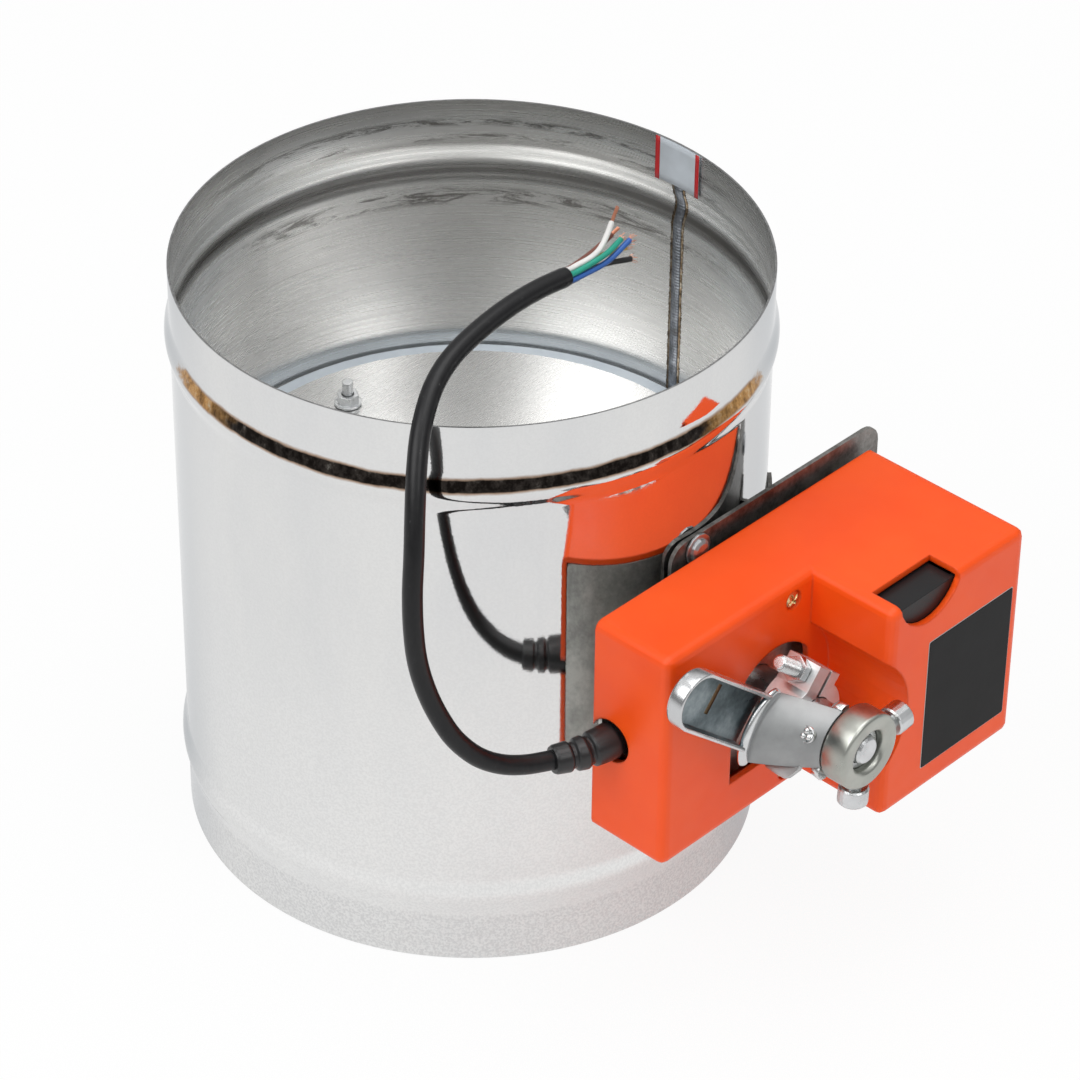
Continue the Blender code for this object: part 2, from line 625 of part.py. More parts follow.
def actuator_housing(root):
    """The moulded L-shaped cover, open at its back and hollow throughout."""
    def steps_outline(x0, inset):
        return [(x0, HOUSING_Y0 + inset), (THIN_X - inset, HOUSING_Y0 + inset), (THIN_X - inset, HOUSING_STEP_Y + inset),
                (THICK_X - inset, HOUSING_STEP_Y + inset), (THICK_X - inset, HOUSING_Y1 - inset),
                (x0, HOUSING_Y1 - inset)]
    low, high = SHAFT_Z - HOUSING_HALF_H, SHAFT_Z + HOUSING_HALF_H
    shell = prism_z(steps_outline(HOUSING_X0, 0), low, high)
    outer = []
    for edge in shell.edges:
        a, b = (v.co for v in edge.verts)
        at_back = max(a.x, b.x) < HOUSING_X0 + CUT_OVER
        in_corner = max(abs(v.x - THIN_X) + abs(v.y - HOUSING_STEP_Y) for v in (a, b)) < CUT_OVER
        if not (at_back or in_corner):
            outer.append(edge)
    bmesh.ops.bevel(shell, geom=outer, offset=HOUSING_ROUND, segments=3, profile=0.5, affect="EDGES")
    housing = add("actuator_housing", shell, orange_plastic(), root)

    recess = rod_x(THIN_X, THICK_X + CUT_OVER, RECESS_R, (0, SHAFT_Z), 48)
    combine(housing, helper("cut_recess", recess, root))
    hollow = prism_z(steps_outline(HOUSING_X0 - CUT_OVER, HOUSING_WALL), low + HOUSING_WALL, high - HOUSING_WALL)
    cavity = helper("cut_cavity", hollow, root)
    kept = rod_x(THIN_X - HOUSING_WALL, THICK_X, RECESS_R + HOUSING_WALL, (0, SHAFT_Z), 48)
    combine(cavity, helper("cut_recess_wall", kept, root))
    combine(housing, cavity)

    wall_in = THIN_X - HOUSING_WALL - CUT_OVER
    arch = ([(-ARCH_R, SHAFT_Z - ARCH_DROP), (HOUSING_STEP_Y - GAP, SHAFT_Z - ARCH_DROP)]
            + [(min(y, HOUSING_STEP_Y - GAP), z) for y, z in arc(ARCH_R, 0, pi, 20, (0, SHAFT_Z))])
    combine(housing, helper("cut_arch", prism_x(arch, wall_in, THIN_X + GAP), root))
    gland = bmesh.new()
    bmesh.ops.create_cone(gland, cap_ends=True, segments=28, radius1=GLAND_R, radius2=GLAND_R, depth=4 * HOUSING_WALL,
                          matrix=Matrix.Translation(GLAND) @ Matrix.Rotation(pi / 2, 4, "X"))
    combine(housing, helper("cut_gland", gland, root))
    screws = [place for _, place in upper_and_lower(COVER_SCREW_Y, COVER_SCREW_Z)]
    drill(housing, "cut_cover_screws", wall_in, THIN_X + CUT_OVER, COVER_SCREW_D / 2 + GAP, screws, root, 16)
    drill(housing, "cut_cover_heads", THIN_X - SCREW_SINK, THIN_X + CUT_OVER, COVER_SCREW_HEAD_D / 2 + GAP, screws,
          root, 20)
    notch = prism_x(button_outline(GAP, BUTTON_DROP + CUT_OVER), THICK_X - BUTTON_SIGHT, THICK_X + CUT_OVER)
    combine(housing, helper("cut_button", notch, root))


def cover_fasteners(root):
    """The two screws that pull the housing down on the base's posts."""
    head = THIN_X - SCREW_SINK + GAP
    for name, place in upper_and_lower(COVER_SCREW_Y, COVER_SCREW_Z):
        add("cover_screw_" + name, pan_screw(head, place, COVER_SCREW_D, HOUSING_WALL + COVER_SCREW_GRIP), brass(), root)


def gear_frame(root):
    """The front bearing plate of the gears, with riveted pillars, board posts and an ear for the button's stem."""
    z0, z1 = SHAFT_Z - FRAME_HALF_H, SHAFT_Z + FRAME_HALF_H
    ear_half = SPRING_D
    ear_top = SHAFT_Z + STEM_Z + STEM_D
    outline = [(FRAME_Y0, z0), (FRAME_Y1, z0), (FRAME_Y1, z1), (BUTTON_Y + ear_half, z1),
               (BUTTON_Y + ear_half, ear_top), (BUTTON_Y - ear_half, ear_top), (BUTTON_Y - ear_half, z1),
               (FRAME_Y0, z1)]
    frame = add("gear_frame", prism_x(outline, FRAME_X0, FRAME_X1), galvanized(), root)
    middle = (FRAME_X0 + FRAME_X1) / 2
    stands = bmesh.new()
    for y, z in PILLARS:
        rod_x(BASE_X1 + GAP, middle, PILLAR_D / 2, (y, SHAFT_Z + z), 16, stands)
    for y, z in BOARD_POSTS:
        rod_x(middle, BOARD_X0 - GAP, BOARD_POST_D / 2, (y, SHAFT_Z + z), 12, stands)
    combine(frame, helper("add_frame_stands", stands, root), "UNION")
    low, high = FRAME_X0 - CUT_OVER, FRAME_X1 + CUT_OVER
    drill(frame, "cut_frame_sleeve", low, high, SLEEVE_R + GAP, [(0, SHAFT_Z)], root)
    motor_hole = [(MOTOR_YZ[0], SHAFT_Z + MOTOR_YZ[1])]
    drill(frame, "cut_frame_motor", low, high, AXLE_D / 2 + 4 * GAP, motor_hole, root)
    drill(frame, "cut_frame_stem", low, high, STEM_D / 2 + GAP, [(BUTTON_Y, SHAFT_Z + STEM_Z)], root)
    for name, (y, z) in (("first", FIRST_YZ), ("second", SECOND_YZ)):
        axle = rod_x(BASE_X1 + GAP, FRAME_X0 - GAP, AXLE_D / 2, (y, SHAFT_Z + z), 16)
        add(name + "_axle", axle, zinc(), root)


def drive_motor(root):
    """The flat synchronous motor, whose shaft passes through the frame."""
    place = (MOTOR_YZ[0], SHAFT_Z + MOTOR_YZ[1])
    can = [(MOTOR_X0, 0), (MOTOR_X0, MOTOR_D / 2), (MOTOR_X0 + MOTOR_T - 1.5 * MM, MOTOR_D / 2),
           (MOTOR_X0 + MOTOR_T, MOTOR_D / 2 - 1.5 * MM), (MOTOR_X0 + MOTOR_T, 0)]
    add("drive_motor", turned(can, 30, center=(0, *place)), zinc(), root)


def circuit(root):
    """The circuit board, with the motor's run capacitor."""
    board = prism_x(box_outline(BOARD_Y0, FRAME_Y1, SHAFT_Z - BOARD_HALF_H, SHAFT_Z + BOARD_HALF_H),
                    BOARD_X0, BOARD_X0 + BOARD_T)
    add("circuit_board", board, material("board_green", (0.02, 0.16, 0.07), 0.0, 0.45), root)
    x0 = BOARD_X0 + BOARD_T + GAP
    y0 = BOARD_Y0 + 4 * MM
    z0 = SHAFT_Z - BOARD_HALF_H + 4 * MM
    block = prism_x(rounded_rectangle(y0, y0 + CAPACITOR[1], z0, z0 + CAPACITOR[2], 1.5 * MM, 3),
                    x0, x0 + CAPACITOR[0])
    add("run_capacitor", block, material("capacitor_yellow", (0.75, 0.5, 0.05), 0.0, 0.4), root)


def limit_switches(root):
    """Two switches under the frame, whose plungers ride on the cam."""
    x1 = FRAME_X0 - GAP
    inner = -(CAM_R + 4 * MM)
    middle_x = x1 - CAM_T / 2
    reach = sqrt((CAM_R + GAP) ** 2 - (SWITCH_Z - PLUNGER_OFF - PLUNGER_HALF) ** 2)
    for name, side in (("upper", 1), ("lower", -1)):
        z = SHAFT_Z + side * SWITCH_Z
        outline = box_outline(inner - SWITCH[1], inner, z - SWITCH[2] / 2, z + SWITCH[2] / 2)
        switch = add("limit_switch_" + name, prism_x(outline, x1 - SWITCH[0], x1), black_plastic(), root)
        z = SHAFT_Z + side * (SWITCH_Z - PLUNGER_OFF)
        pin = box_outline(inner - MM, -reach - GAP, z - PLUNGER_HALF, z + PLUNGER_HALF)
        plunger = prism_x(pin, middle_x - MM, middle_x + MM)
        combine(switch, helper("add_plunger_" + name, plunger, root), "UNION")


def terminal_block(root):
    """The strip on the base that the lead's cores end in."""
    x0 = BASE_X1 + GAP
    y0 = FRAME_Y0 + 2 * MM
    z0, z1 = SHAFT_Z - TERMINAL_H / 2, SHAFT_Z + TERMINAL_H / 2
    bm = prism_x(box_outline(y0, y0 + TERMINAL[1], z0, z1), x0, x0 + TERMINAL[0])
    block = add("terminal_block", bm, nylon(), root)
    slots = bmesh.new()
    pitch = TERMINAL_H / TERMINAL_WAYS
    for n in range(TERMINAL_WAYS):
        middle = z0 + pitch * (n + 0.5)
        outline = box_outline(y0 + 4 * MM, y0 + TERMINAL[1] - 4 * MM, middle - pitch / 3, middle + pitch / 3)
        prism_x(outline, x0 + TERMINAL[0] / 2, x0 + TERMINAL[0] + CUT_OVER, slots)
    combine(block, helper("cut_terminal", slots, root))


def gear_outline(teeth, phase, module):
    """Straight-flanked teeth with running clearance; a tooth stands at the phase angle."""
    pitch_r = module * teeth / 2
    half = pi / teeth / 2 * (1 - BACKLASH)
    slope = 0.364 * module / pitch_r
    points = []
    for n in range(teeth):
        middle = phase + 2 * pi * n / teeth
        for radius, spread in ((pitch_r - GEAR_ROOT * module, -(half + slope * GEAR_ROOT)),
                               (pitch_r + GEAR_REACH * module, -(half - slope * GEAR_REACH)),
                               (pitch_r + GEAR_REACH * module, half - slope * GEAR_REACH),
                               (pitch_r - GEAR_ROOT * module, half + slope * GEAR_ROOT)):
            points.append((radius * cos(middle + spread), radius * sin(middle + spread)))
    return points


def gear(name, wheel, pinion, bore_r, parent, mat):
    """One or two toothed steps, each (teeth, phase, x0, x1, module), with a bore for the axle."""
    def step(teeth, phase, x0, x1, module=MODULE):
        return prism_x(gear_outline(teeth, phase, module), x0, x1)
    made = add(name, step(*wheel), mat, parent)
    x0, x1 = wheel[2], wheel[3]
    if pinion:
        joined = step(*pinion)
        combine(made, helper("add_" + name, joined, parent), "UNION")
        x0, x1 = min(x0, pinion[2]), max(x1, pinion[3])
    if bore_r:
        drill(made, "cut_" + name, x0 - CUT_OVER, x1 + CUT_OVER, bore_r, [(0, 0)], parent)
    return made


def meshing_phase(teeth, towards, mate_teeth, mate_phase, mate_towards):
    """The phase that puts a gap of this gear where the mate's tooth or gap faces it."""
    mate_offset = ((mate_towards - mate_phase) * mate_teeth / (2 * pi)) % 1.0
    return towards + (mate_offset + 0.5) * 2 * pi / teeth


def gear_train(root):
    """Motor pinion, two compound gears and the wheel on the sleeve, in mesh at rest."""
    face = WHEEL_T
    over = 0.5 * MM
    axle_r = AXLE_D / 2 + GAP
    output_phase = SECOND_ANGLE
    second_small = meshing_phase(SECOND_PINION_TEETH, SECOND_ANGLE + pi, OUTPUT_TEETH, output_phase, SECOND_ANGLE)
    second_big = FIRST_ANGLE
    first_small = meshing_phase(FIRST_PINION_TEETH, FIRST_ANGLE + pi, SECOND_WHEEL_TEETH, second_big, FIRST_ANGLE)
    first_big = MOTOR_ANGLE
    motor_small = meshing_phase(MOTOR_TEETH, MOTOR_ANGLE + pi, FIRST_WHEEL_TEETH, first_big, MOTOR_ANGLE)

    second_axis = empty("second_gear_axis", (0, SECOND_YZ[0], SHAFT_Z + SECOND_YZ[1]), root)
    first_axis = empty("first_gear_axis", (0, FIRST_YZ[0], SHAFT_Z + FIRST_YZ[1]), root)
    motor_axis = empty("motor_axis", (0, MOTOR_YZ[0], SHAFT_Z + MOTOR_YZ[1]), root)
    gear("second_gear", (SECOND_WHEEL_TEETH, second_big, LEVEL[1], LEVEL[1] + face),
         (SECOND_PINION_TEETH, second_small, LEVEL[0] - over, LEVEL[1] + over), axle_r, second_axis, nylon())
    gear("first_gear", (FIRST_WHEEL_TEETH, first_big, LEVEL[2], LEVEL[2] + face, FAST_MODULE),
         (FIRST_PINION_TEETH, first_small, LEVEL[1] - over, LEVEL[2] + over), axle_r, first_axis, nylon())
    pinion = gear("motor_pinion", (MOTOR_TEETH, motor_small, LEVEL[2] - over, LEVEL[2] + face + over, FAST_MODULE),
                  None, 0, motor_axis, brass())
    stub = rod_x(LEVEL[2], MOTOR_X0 - GAP, AXLE_D / 2, (0, 0), 16)
    combine(pinion, helper("add_pinion_shaft", stub, motor_axis), "UNION")
    return output_phase


def shaft_and_blade(rotor):
    """The through shaft and the clamped sandwich of two discs and a rubber ring."""
    groove_x = -(DUCT_R + GAP + BUSH_FLANGE_T + GAP)
    groove_r = SHAFT_R - CLIP_GROOVE
    tip = 0.8 * MM
    profile = [(SHAFT_REAR, 0), (SHAFT_REAR, SHAFT_R - tip), (SHAFT_REAR + tip, SHAFT_R),
               (groove_x - CLIP_T - GAP, SHAFT_R), (groove_x - CLIP_T - GAP, groove_r), (groove_x, groove_r),
               (groove_x, SHAFT_R), (SHAFT_END - tip, SHAFT_R), (SHAFT_END, SHAFT_R - tip), (SHAFT_END, 0)]
    add("drive_shaft", turned(profile, 24), zinc(), rotor)
    clip_in = groove_r + GAP / 2
    clip = [(groove_x - CLIP_T - GAP / 2, clip_in), (groove_x - CLIP_T - GAP / 2, SHAFT_R + CLIP_W),
            (groove_x - GAP / 2, SHAFT_R + CLIP_W), (groove_x - GAP / 2, clip_in)]
    add("shaft_clip", turned(clip, 20), zinc(), rotor)

    disc_r = GASKET_R - BLADE_INSET
    studs = [(x * STRAP_X, y * STUD_Y) for x in (-1, 1) for y in (-1, 1)]
    for name, low in (("blade_lower", BLADE_Z), ("blade_upper", UPPER_Z)):
        disc = add(name, prism_z(circle(disc_r, DUCT_STEPS), low, low + BLADE_T), stainless(), rotor)
        holes = bmesh.new()
        for place in studs:
            prism_z(circle(STUD_D / 2 + GAP, 16, place), low - CUT_OVER, low + BLADE_T + CUT_OVER, holes)
        combine(disc, helper("cut_" + name, holes, rotor))
    ring = [(GASKET_Z, GASKET_R - GASKET_W), (GASKET_Z, GASKET_R), (GASKET_Z + GASKET_T, GASKET_R),
            (GASKET_Z + GASKET_T, GASKET_R - GASKET_W)]
    add("blade_gasket", turned(ring, DUCT_STEPS, axis=(0, 0, 1)), rubber(), rotor)
    blade_fixings(rotor, studs)


def blade_fixings(rotor, studs):
    """Straps under the shaft, each with two welded studs that are drawn up through the discs by flange nuts."""
    inner = BORE_R
    outer = inner + STRAP_T
    seat = BLADE_Z - GAP
    under = seat - STRAP_T
    reach = STUD_Y + STUD_D + MM
    outline = ([(reach, seat), (reach, under), (outer, under)] + arc(outer, 0, -pi, 14)
               + [(-outer, under), (-reach, under), (-reach, seat), (-inner, seat)]
               + arc(inner, pi, 2 * pi, 14) + [(inner, seat)])
    stud_r = STUD_D / 2
    for name, side in (("rear", -1), ("front", 1)):
        middle = side * STRAP_X
        strap = add(name + "_strap", prism_x(outline, middle - STRAP_W / 2, middle + STRAP_W / 2), galvanized(), rotor)
        pins = bmesh.new()
        for y in (-STUD_Y, STUD_Y):
            prism_z(circle(stud_r, 12, (middle, y)), seat - STRAP_T / 2, NUT_Z + STUD_OUT, pins)
        combine(strap, helper("add_studs_" + name, pins, rotor), "UNION")
    for n, (x, y) in enumerate(studs):
        seat_at = Matrix.Translation((x, y, NUT_Z)) @ Matrix.Rotation(-pi / 2, 4, "Y")
        add("blade_nut_%d" % (n + 1), nut(stud_r + GAP, SMALL_NUT, seat_at), zinc(), rotor)


def in_clamp(u, w):
    """A point of the clamp: u runs out along the lever, w up across it."""
    c, s = cos(LEVER_ANGLE), sin(LEVER_ANGLE)
    return (u * c + w * s, u * s - w * c)


def clamp_outline(points):
    return [in_clamp(u, w) for u, w in points]


def output_parts(rotor, output_phase):
    """The hollow sleeve with the gear, cam, split jaw, lever, saddle and end collar that turn with it."""
    neck_x = COLLAR_X1 - NECK_LENGTH
    sleeve = [(BOSS_X0 + BUSH_FLANGE_T + GAP, BORE_R), (BOSS_X0 + BUSH_FLANGE_T + GAP, SLEEVE_R),
              (neck_x, SLEEVE_R), (neck_x, SLEEVE_NECK_R), (SLEEVE_END, SLEEVE_NECK_R), (SLEEVE_END, BORE_R)]
    add("output_sleeve", turned(sleeve, 24), zinc(), rotor)
    gear("output_gear", (OUTPUT_TEETH, output_phase, LEVEL[0], LEVEL[0] + WHEEL_T), None, SLEEVE_R + GAP, rotor,
         nylon())
    cam_x1 = FRAME_X0 - 2 * GAP
    dwell = radians(60)
    step = CAM_R - 2 * MM
    cam = (arc(CAM_R, LEVER_ANGLE - dwell, LEVER_ANGLE + dwell, 10)
           + arc(step, LEVER_ANGLE + dwell + radians(8), LEVER_ANGLE - dwell - radians(8) + 2 * pi, 16))
    disc = add("switch_cam", prism_x(cam, cam_x1 - CAM_T, cam_x1), nylon(), rotor)
    drill(disc, "cut_cam", cam_x1 - CAM_T - CUT_OVER, cam_x1 + CUT_OVER, SLEEVE_R + GAP, [(0, 0)], rotor)
    clamp_jaw(rotor)
    clamp_lever(rotor)
    end_collar(rotor)


def clamp_jaw(rotor):
    """A split block round the sleeve, closed by one bolt through its ears."""
    x0 = THIN_X + JAW_X
    x1 = x0 + JAW_LENGTH
    middle = (x0 + x1) / 2
    body_r = SLEEVE_R + GAP + JAW_WALL
    start = asin(EAR_U1 / body_r)
    ears = clamp_outline([(EAR_U1, EAR_OUT), (EAR_U0, EAR_OUT), (EAR_U0, sqrt(body_r ** 2 - EAR_U0 ** 2))]
                         + [(body_r * sin(-t), body_r * cos(t))
                            for t in [asin(-EAR_U0 / body_r) + n * (2 * pi - asin(-EAR_U0 / body_r) - start) / 30
                                      for n in range(1, 31)]])
    jaw = add("clamp_jaw", prism_x(ears, x0, x1), zinc(), rotor)
    drill(jaw, "cut_jaw_bore", x0 - CUT_OVER, x1 + CUT_OVER, SLEEVE_R + GAP, [(0, 0)], rotor)
    slot = clamp_outline([(EAR_SLOT_U, 0), (EAR_SLOT_U + EAR_SLOT, 0), (EAR_SLOT_U + EAR_SLOT, EAR_OUT + CUT_OVER),
                          (EAR_SLOT_U, EAR_OUT + CUT_OVER)])
    combine(jaw, helper("cut_jaw_slot", prism_x(slot, x0 - CUT_OVER, x1 + CUT_OVER), rotor))
    head_r = CLAMP_BOLT_HEAD_D / 2
    hole = along_lever([(-body_r, 0), (-body_r, head_r + GAP), (EAR_U0, head_r + GAP),
                        (EAR_U0, CLAMP_BOLT_D / 2 + GAP), (EAR_U1 + CUT_OVER, CLAMP_BOLT_D / 2 + GAP),
                        (EAR_U1 + CUT_OVER, 0)], middle)
    combine(jaw, helper("cut_jaw_bolt", hole, rotor))
    shank = CLAMP_BOLT_D / 2
    head = EAR_U0 - GAP
    bolt = [(head - CLAMP_BOLT_HEAD_T, 0), (head - CLAMP_BOLT_HEAD_T, head_r), (head, head_r), (head, shank),
            (CLAMP_BOLT_END - 0.6 * MM, shank), (CLAMP_BOLT_END, shank - 0.6 * MM), (CLAMP_BOLT_END, 0)]
    add("clamp_bolt", along_lever(bolt, middle), zinc(), rotor)
    seat = lever_matrix(middle) @ Matrix.Translation((EAR_U1 + GAP, 0, 0))
    add("clamp_nut", nut(shank + GAP, CLAMP_NUT, seat, flange=False), zinc(), rotor)


def lever_matrix(x):
    """Carries X to the lever's direction, on the clamp bolt's line at x."""
    along = Vector((0, *in_clamp(1, 0)))
    across = Vector((0, *in_clamp(0, 1)))
    origin = Vector((x, *in_clamp(0, CLAMP_BOLT_W)))
    third = along.cross(across)
    return Matrix((
        (along.x, across.x, third.x, origin.x),
        (along.y, across.y, third.y, origin.y),
        (along.z, across.z, third.z, origin.z),
        (0, 0, 0, 1)))


def along_lever(profile, x):
    bm = turned(profile, 20)
    bmesh.ops.transform(bm, matrix=lever_matrix(x), verts=bm.verts)
    return bm


def lever_outline(inset):
    half = LEVER_HALF_W - inset
    end = [(LEVER_END + half * sin(t), LEVER_OFFSET + half * cos(t))
           for t in [pi * n / 14 for n in range(15)]]
    return [(LEVER_ROOT, LEVER_OFFSET + half)] + end + [(LEVER_ROOT, LEVER_OFFSET - half)]


def clamp_lever(rotor):
    """A pressed tray with a round end, and the flared saddle that ties it to the collar."""
    lever = add("clamp_lever", prism_x(clamp_outline(lever_outline(0)), LEVER_X0, LEVER_X0 + LEVER_RIM), zinc(),
                rotor)
    inner = [(u if u > LEVER_ROOT else u - CUT_OVER, w) for u, w in lever_outline(LEVER_T)]
    tray = prism_x(clamp_outline(inner), LEVER_X0 + LEVER_T, LEVER_X0 + LEVER_RIM + CUT_OVER)
    combine(lever, helper("cut_lever_tray", tray, rotor))
    low, high = LEVER_OFFSET - LEVER_SLOT_HALF, LEVER_OFFSET + LEVER_SLOT_HALF
    slot_u = LEVER_END - LEVER_SLOT_BACK
    slot = clamp_outline(box_outline(slot_u, slot_u + LEVER_SLOT_W, low, high))
    combine(lever, helper("cut_lever_slot", prism_x(slot, LEVER_X0 - CUT_OVER, LEVER_X0 + LEVER_RIM), rotor))

    rows, columns = 6, 12
    x_lip = LEVER_X0 + LEVER_T + GAP
    x_end = COLLAR_X0 - GAP
    bm = bmesh.new()
    grid = []
    for r in range(rows + 1):
        t = r / rows
        ease = t * t * (3 - 2 * t)
        x = x_lip + (x_end - x_lip) * t
        radius = SADDLE_LIP_R + (SADDLE_R - SADDLE_LIP_R) * ease
        half = SADDLE_LIP_HALF_ANGLE + (SADDLE_HALF_ANGLE - SADDLE_LIP_HALF_ANGLE) * ease
        middle = (SADDLE_LIP_U * (1 - ease), LEVER_OFFSET * (1 - ease))
        line = []
        for c in range(columns + 1):
            turn = half * (2 * c / columns - 1)
            line.append((x, middle[0] + radius * cos(turn), middle[1] + radius * sin(turn), turn))
        grid.append(line)
    layers = []
    for out in (0.0, SADDLE_T):
        layers.append([[bm.verts.new((x, *in_clamp(u + out * cos(t), w + out * sin(t)))) for x, u, w, t in line]
                       for line in grid])
    low, high = layers
    for r in range(rows):
        for c in range(columns):
            bm.faces.new((low[r][c], low[r][c + 1], low[r + 1][c + 1], low[r + 1][c]))
            bm.faces.new((high[r][c], high[r + 1][c], high[r + 1][c + 1], high[r][c + 1]))
        for c in (0, columns):
            bm.faces.new((low[r][c], low[r + 1][c], high[r + 1][c], high[r][c]))
    for c in range(columns):
        for r in (0, rows):
            bm.faces.new((low[r][c], high[r][c], high[r][c + 1], low[r][c + 1]))
    add("clamp_saddle", bm, zinc(), rotor)


def end_collar(rotor):
    """The ring on the sleeve's neck, locked by two cylinder-head screws."""
    edge = 1.2 * MM
    bore = SLEEVE_NECK_R + GAP
    profile = [(COLLAR_X0, bore), (COLLAR_X0, COLLAR_R - edge), (COLLAR_X0 + edge, COLLAR_R),
               (COLLAR_X1 - edge, COLLAR_R), (COLLAR_X1, COLLAR_R - edge), (COLLAR_X1, bore)]
    collar = add("end_collar", turned(profile, 30), zinc(), rotor)
    middle = (COLLAR_X0 + COLLAR_X1) / 2
    shank = COLLAR_SCREW_D / 2
    edge = 0.6 * MM
    head_r = COLLAR_HEAD_D / 2
    for name, angle in (("side", COLLAR_SCREW_ANGLES[0]), ("lower", COLLAR_SCREW_ANGLES[1])):
        stand = Matrix.Translation((middle, 0, 0)) @ Matrix.Rotation(angle, 4, "X") @ Matrix.Rotation(pi / 2, 4, "Z")
        hole = turned([(bore - CUT_OVER, 0), (bore - CUT_OVER, shank + GAP), (COLLAR_R + CUT_OVER, shank + GAP),
                       (COLLAR_R + CUT_OVER, 0)], 16)
        bmesh.ops.transform(hole, matrix=stand, verts=hole.verts)
        combine(collar, helper("cut_collar_" + name, hole, rotor))
        screw = turned([(bore, 0), (bore, shank), (COLLAR_HEAD_IN, shank), (COLLAR_HEAD_IN, head_r - edge),
                        (COLLAR_HEAD_IN + edge, head_r), (COLLAR_HEAD_OUT - edge, head_r),
                        (COLLAR_HEAD_OUT, head_r - edge), (COLLAR_HEAD_OUT, 0)], 20)
        bmesh.ops.transform(screw, matrix=stand, verts=screw.verts)
        add("collar_screw_" + name, screw, zinc(), rotor)


def release_button(root):
    """The sprung button: its flange stops behind the front wall and its stem slides in the frame."""
    axis = empty("button_axis", (0, 0, 0), root)
    flange_x1 = THICK_X - HOUSING_WALL - GAP
    body = add("release_button", prism_x(button_outline(), BUTTON_BACK, flange_x1), black_plastic(), axis)
    flange = prism_x(button_outline(BUTTON_FLANGE_OUT), flange_x1 - BUTTON_FLANGE, flange_x1)
    combine(body, helper("add_button_flange", flange, axis), "UNION")
    stem = rod_x(FRAME_X0 - MM, BUTTON_BACK + MM, STEM_D / 2, (BUTTON_Y, SHAFT_Z + STEM_Z), 20)
    combine(body, helper("add_button_stem", stem, axis), "UNION")

    curve = new_curve("release_spring", SPRING_WIRE / 2, 1)
    x0 = FRAME_X1 + SPRING_WIRE / 2 + GAP
    x1 = BUTTON_BACK - SPRING_WIRE / 2 - GAP
    count = SPRING_TURNS * 10
    points = []
    for n in range(count + 1):
        turn = 2 * pi * SPRING_TURNS * n / count
        radius = (SPRING_D - SPRING_WIRE) / 2
        points.append((x0 + (x1 - x0) * n / count, BUTTON_Y + radius * cos(turn),
                       SHAFT_Z + STEM_Z + radius * sin(turn)))
    fill_curve(curve, points)
    place_curve("release_spring", curve, zinc(), root)


def new_curve(name, radius, resolution):
    curve = bpy.data.curves.new(name, "CURVE")
    curve.dimensions = "3D"
    curve.bevel_depth = radius
    curve.bevel_resolution = resolution
    curve.use_fill_caps = True
    return curve


def fill_curve(curve, points, radii=None):
    line = curve.splines.new("POLY")
    line.points.add(len(points) - 1)
    for n, point in enumerate(points):
        line.points[n].co = (*point, 1)
        line.points[n].radius = radii[n] if radii else 1.0


def place_curve(name, curve, mat, parent):
    made = bpy.data.objects.new(name, curve)
    bpy.context.collection.objects.link(made)
    curve.materials.append(mat)
    made.parent = parent
    return made


def smooth_route(route, step):
    """Points about one step apart on the smooth curve through a route."""
    knots = [2 * route[0] - route[1]] + route + [2 * route[-1] - route[-2]]
    points = []
    for n in range(1, len(knots) - 2):
        a, b, c, d = knots[n - 1:n + 3]
        count = max(1, ceil((c - b).length / step - 0.5))
        for k in range(count):
            t = k / count
            points.append(0.5 * (2 * b + (c - a) * t + (2 * a - 5 * b + 4 * c - d) * t ** 2
                                 + (3 * b - a - 3 * c + d) * t ** 3))
    return points + [knots[-2]]


def cable_points():
    """The jacket's middle line, from the strain relief up the duct and over its rim."""
    crossing = Vector((RIM_CROSSING[0] * DUCT_R, RIM_CROSSING[1] * DUCT_R, DUCT_H))
    way = crossing - GLAND
    route = [GLAND + share * way + Vector(off) * CABLE_D for share, *off in CABLE_ROUTE]
    return smooth_route(route, CABLE_STEP * CABLE_D)


def lead(root):
    """The moulded strain relief, the jacket over the rim, and the six bare cores."""
    jacket = new_curve("power_cable", CABLE_D / 2, 3)
    jacket_points = cable_points()
    fill_curve(jacket, jacket_points)
    place_curve("power_cable", jacket, black_plastic(), root)

    relief = new_curve("strain_relief", RELIEF_D / 2, 3)
    line = smooth_route([GLAND + Vector(p) * CABLE_D for p in RELIEF_ROUTE], CABLE_D / 30)
    places = [round(share * (len(line) - 1)) for share, _ in RELIEF_PROFILE]
    fill_curve(relief, [line[n] for n in places], [width for _, width in RELIEF_PROFILE])
    place_curve("strain_relief", relief, black_plastic(), root)

    end = jacket_points[-1]
    along = (end - jacket_points[-2]).normalized()
    side = along.cross(Vector((0, 0, 1))).normalized()
    up = side.cross(along)
    for n, (name, tip, color) in enumerate(CORES):
        turn = 2 * pi * n / len(CORES)
        start = end + along * GAP + (side * cos(turn) + up * sin(turn)) * CORE_RING * CABLE_D
        spread = Vector((cos(turn), 0, sin(turn))) * CORE_FAN_R
        fan = end + (Vector(CORE_FAN) + spread) * CABLE_D
        curve = new_curve(name, CORE_D / 2, 2)
        route = [start, start + along * CABLE_D / 2, fan, end + Vector(tip) * CABLE_D]
        fill_curve(curve, smooth_route(route, 3 * CORE_D))
        place_curve(name, curve, material(name, color, 0.0, 0.4), root)


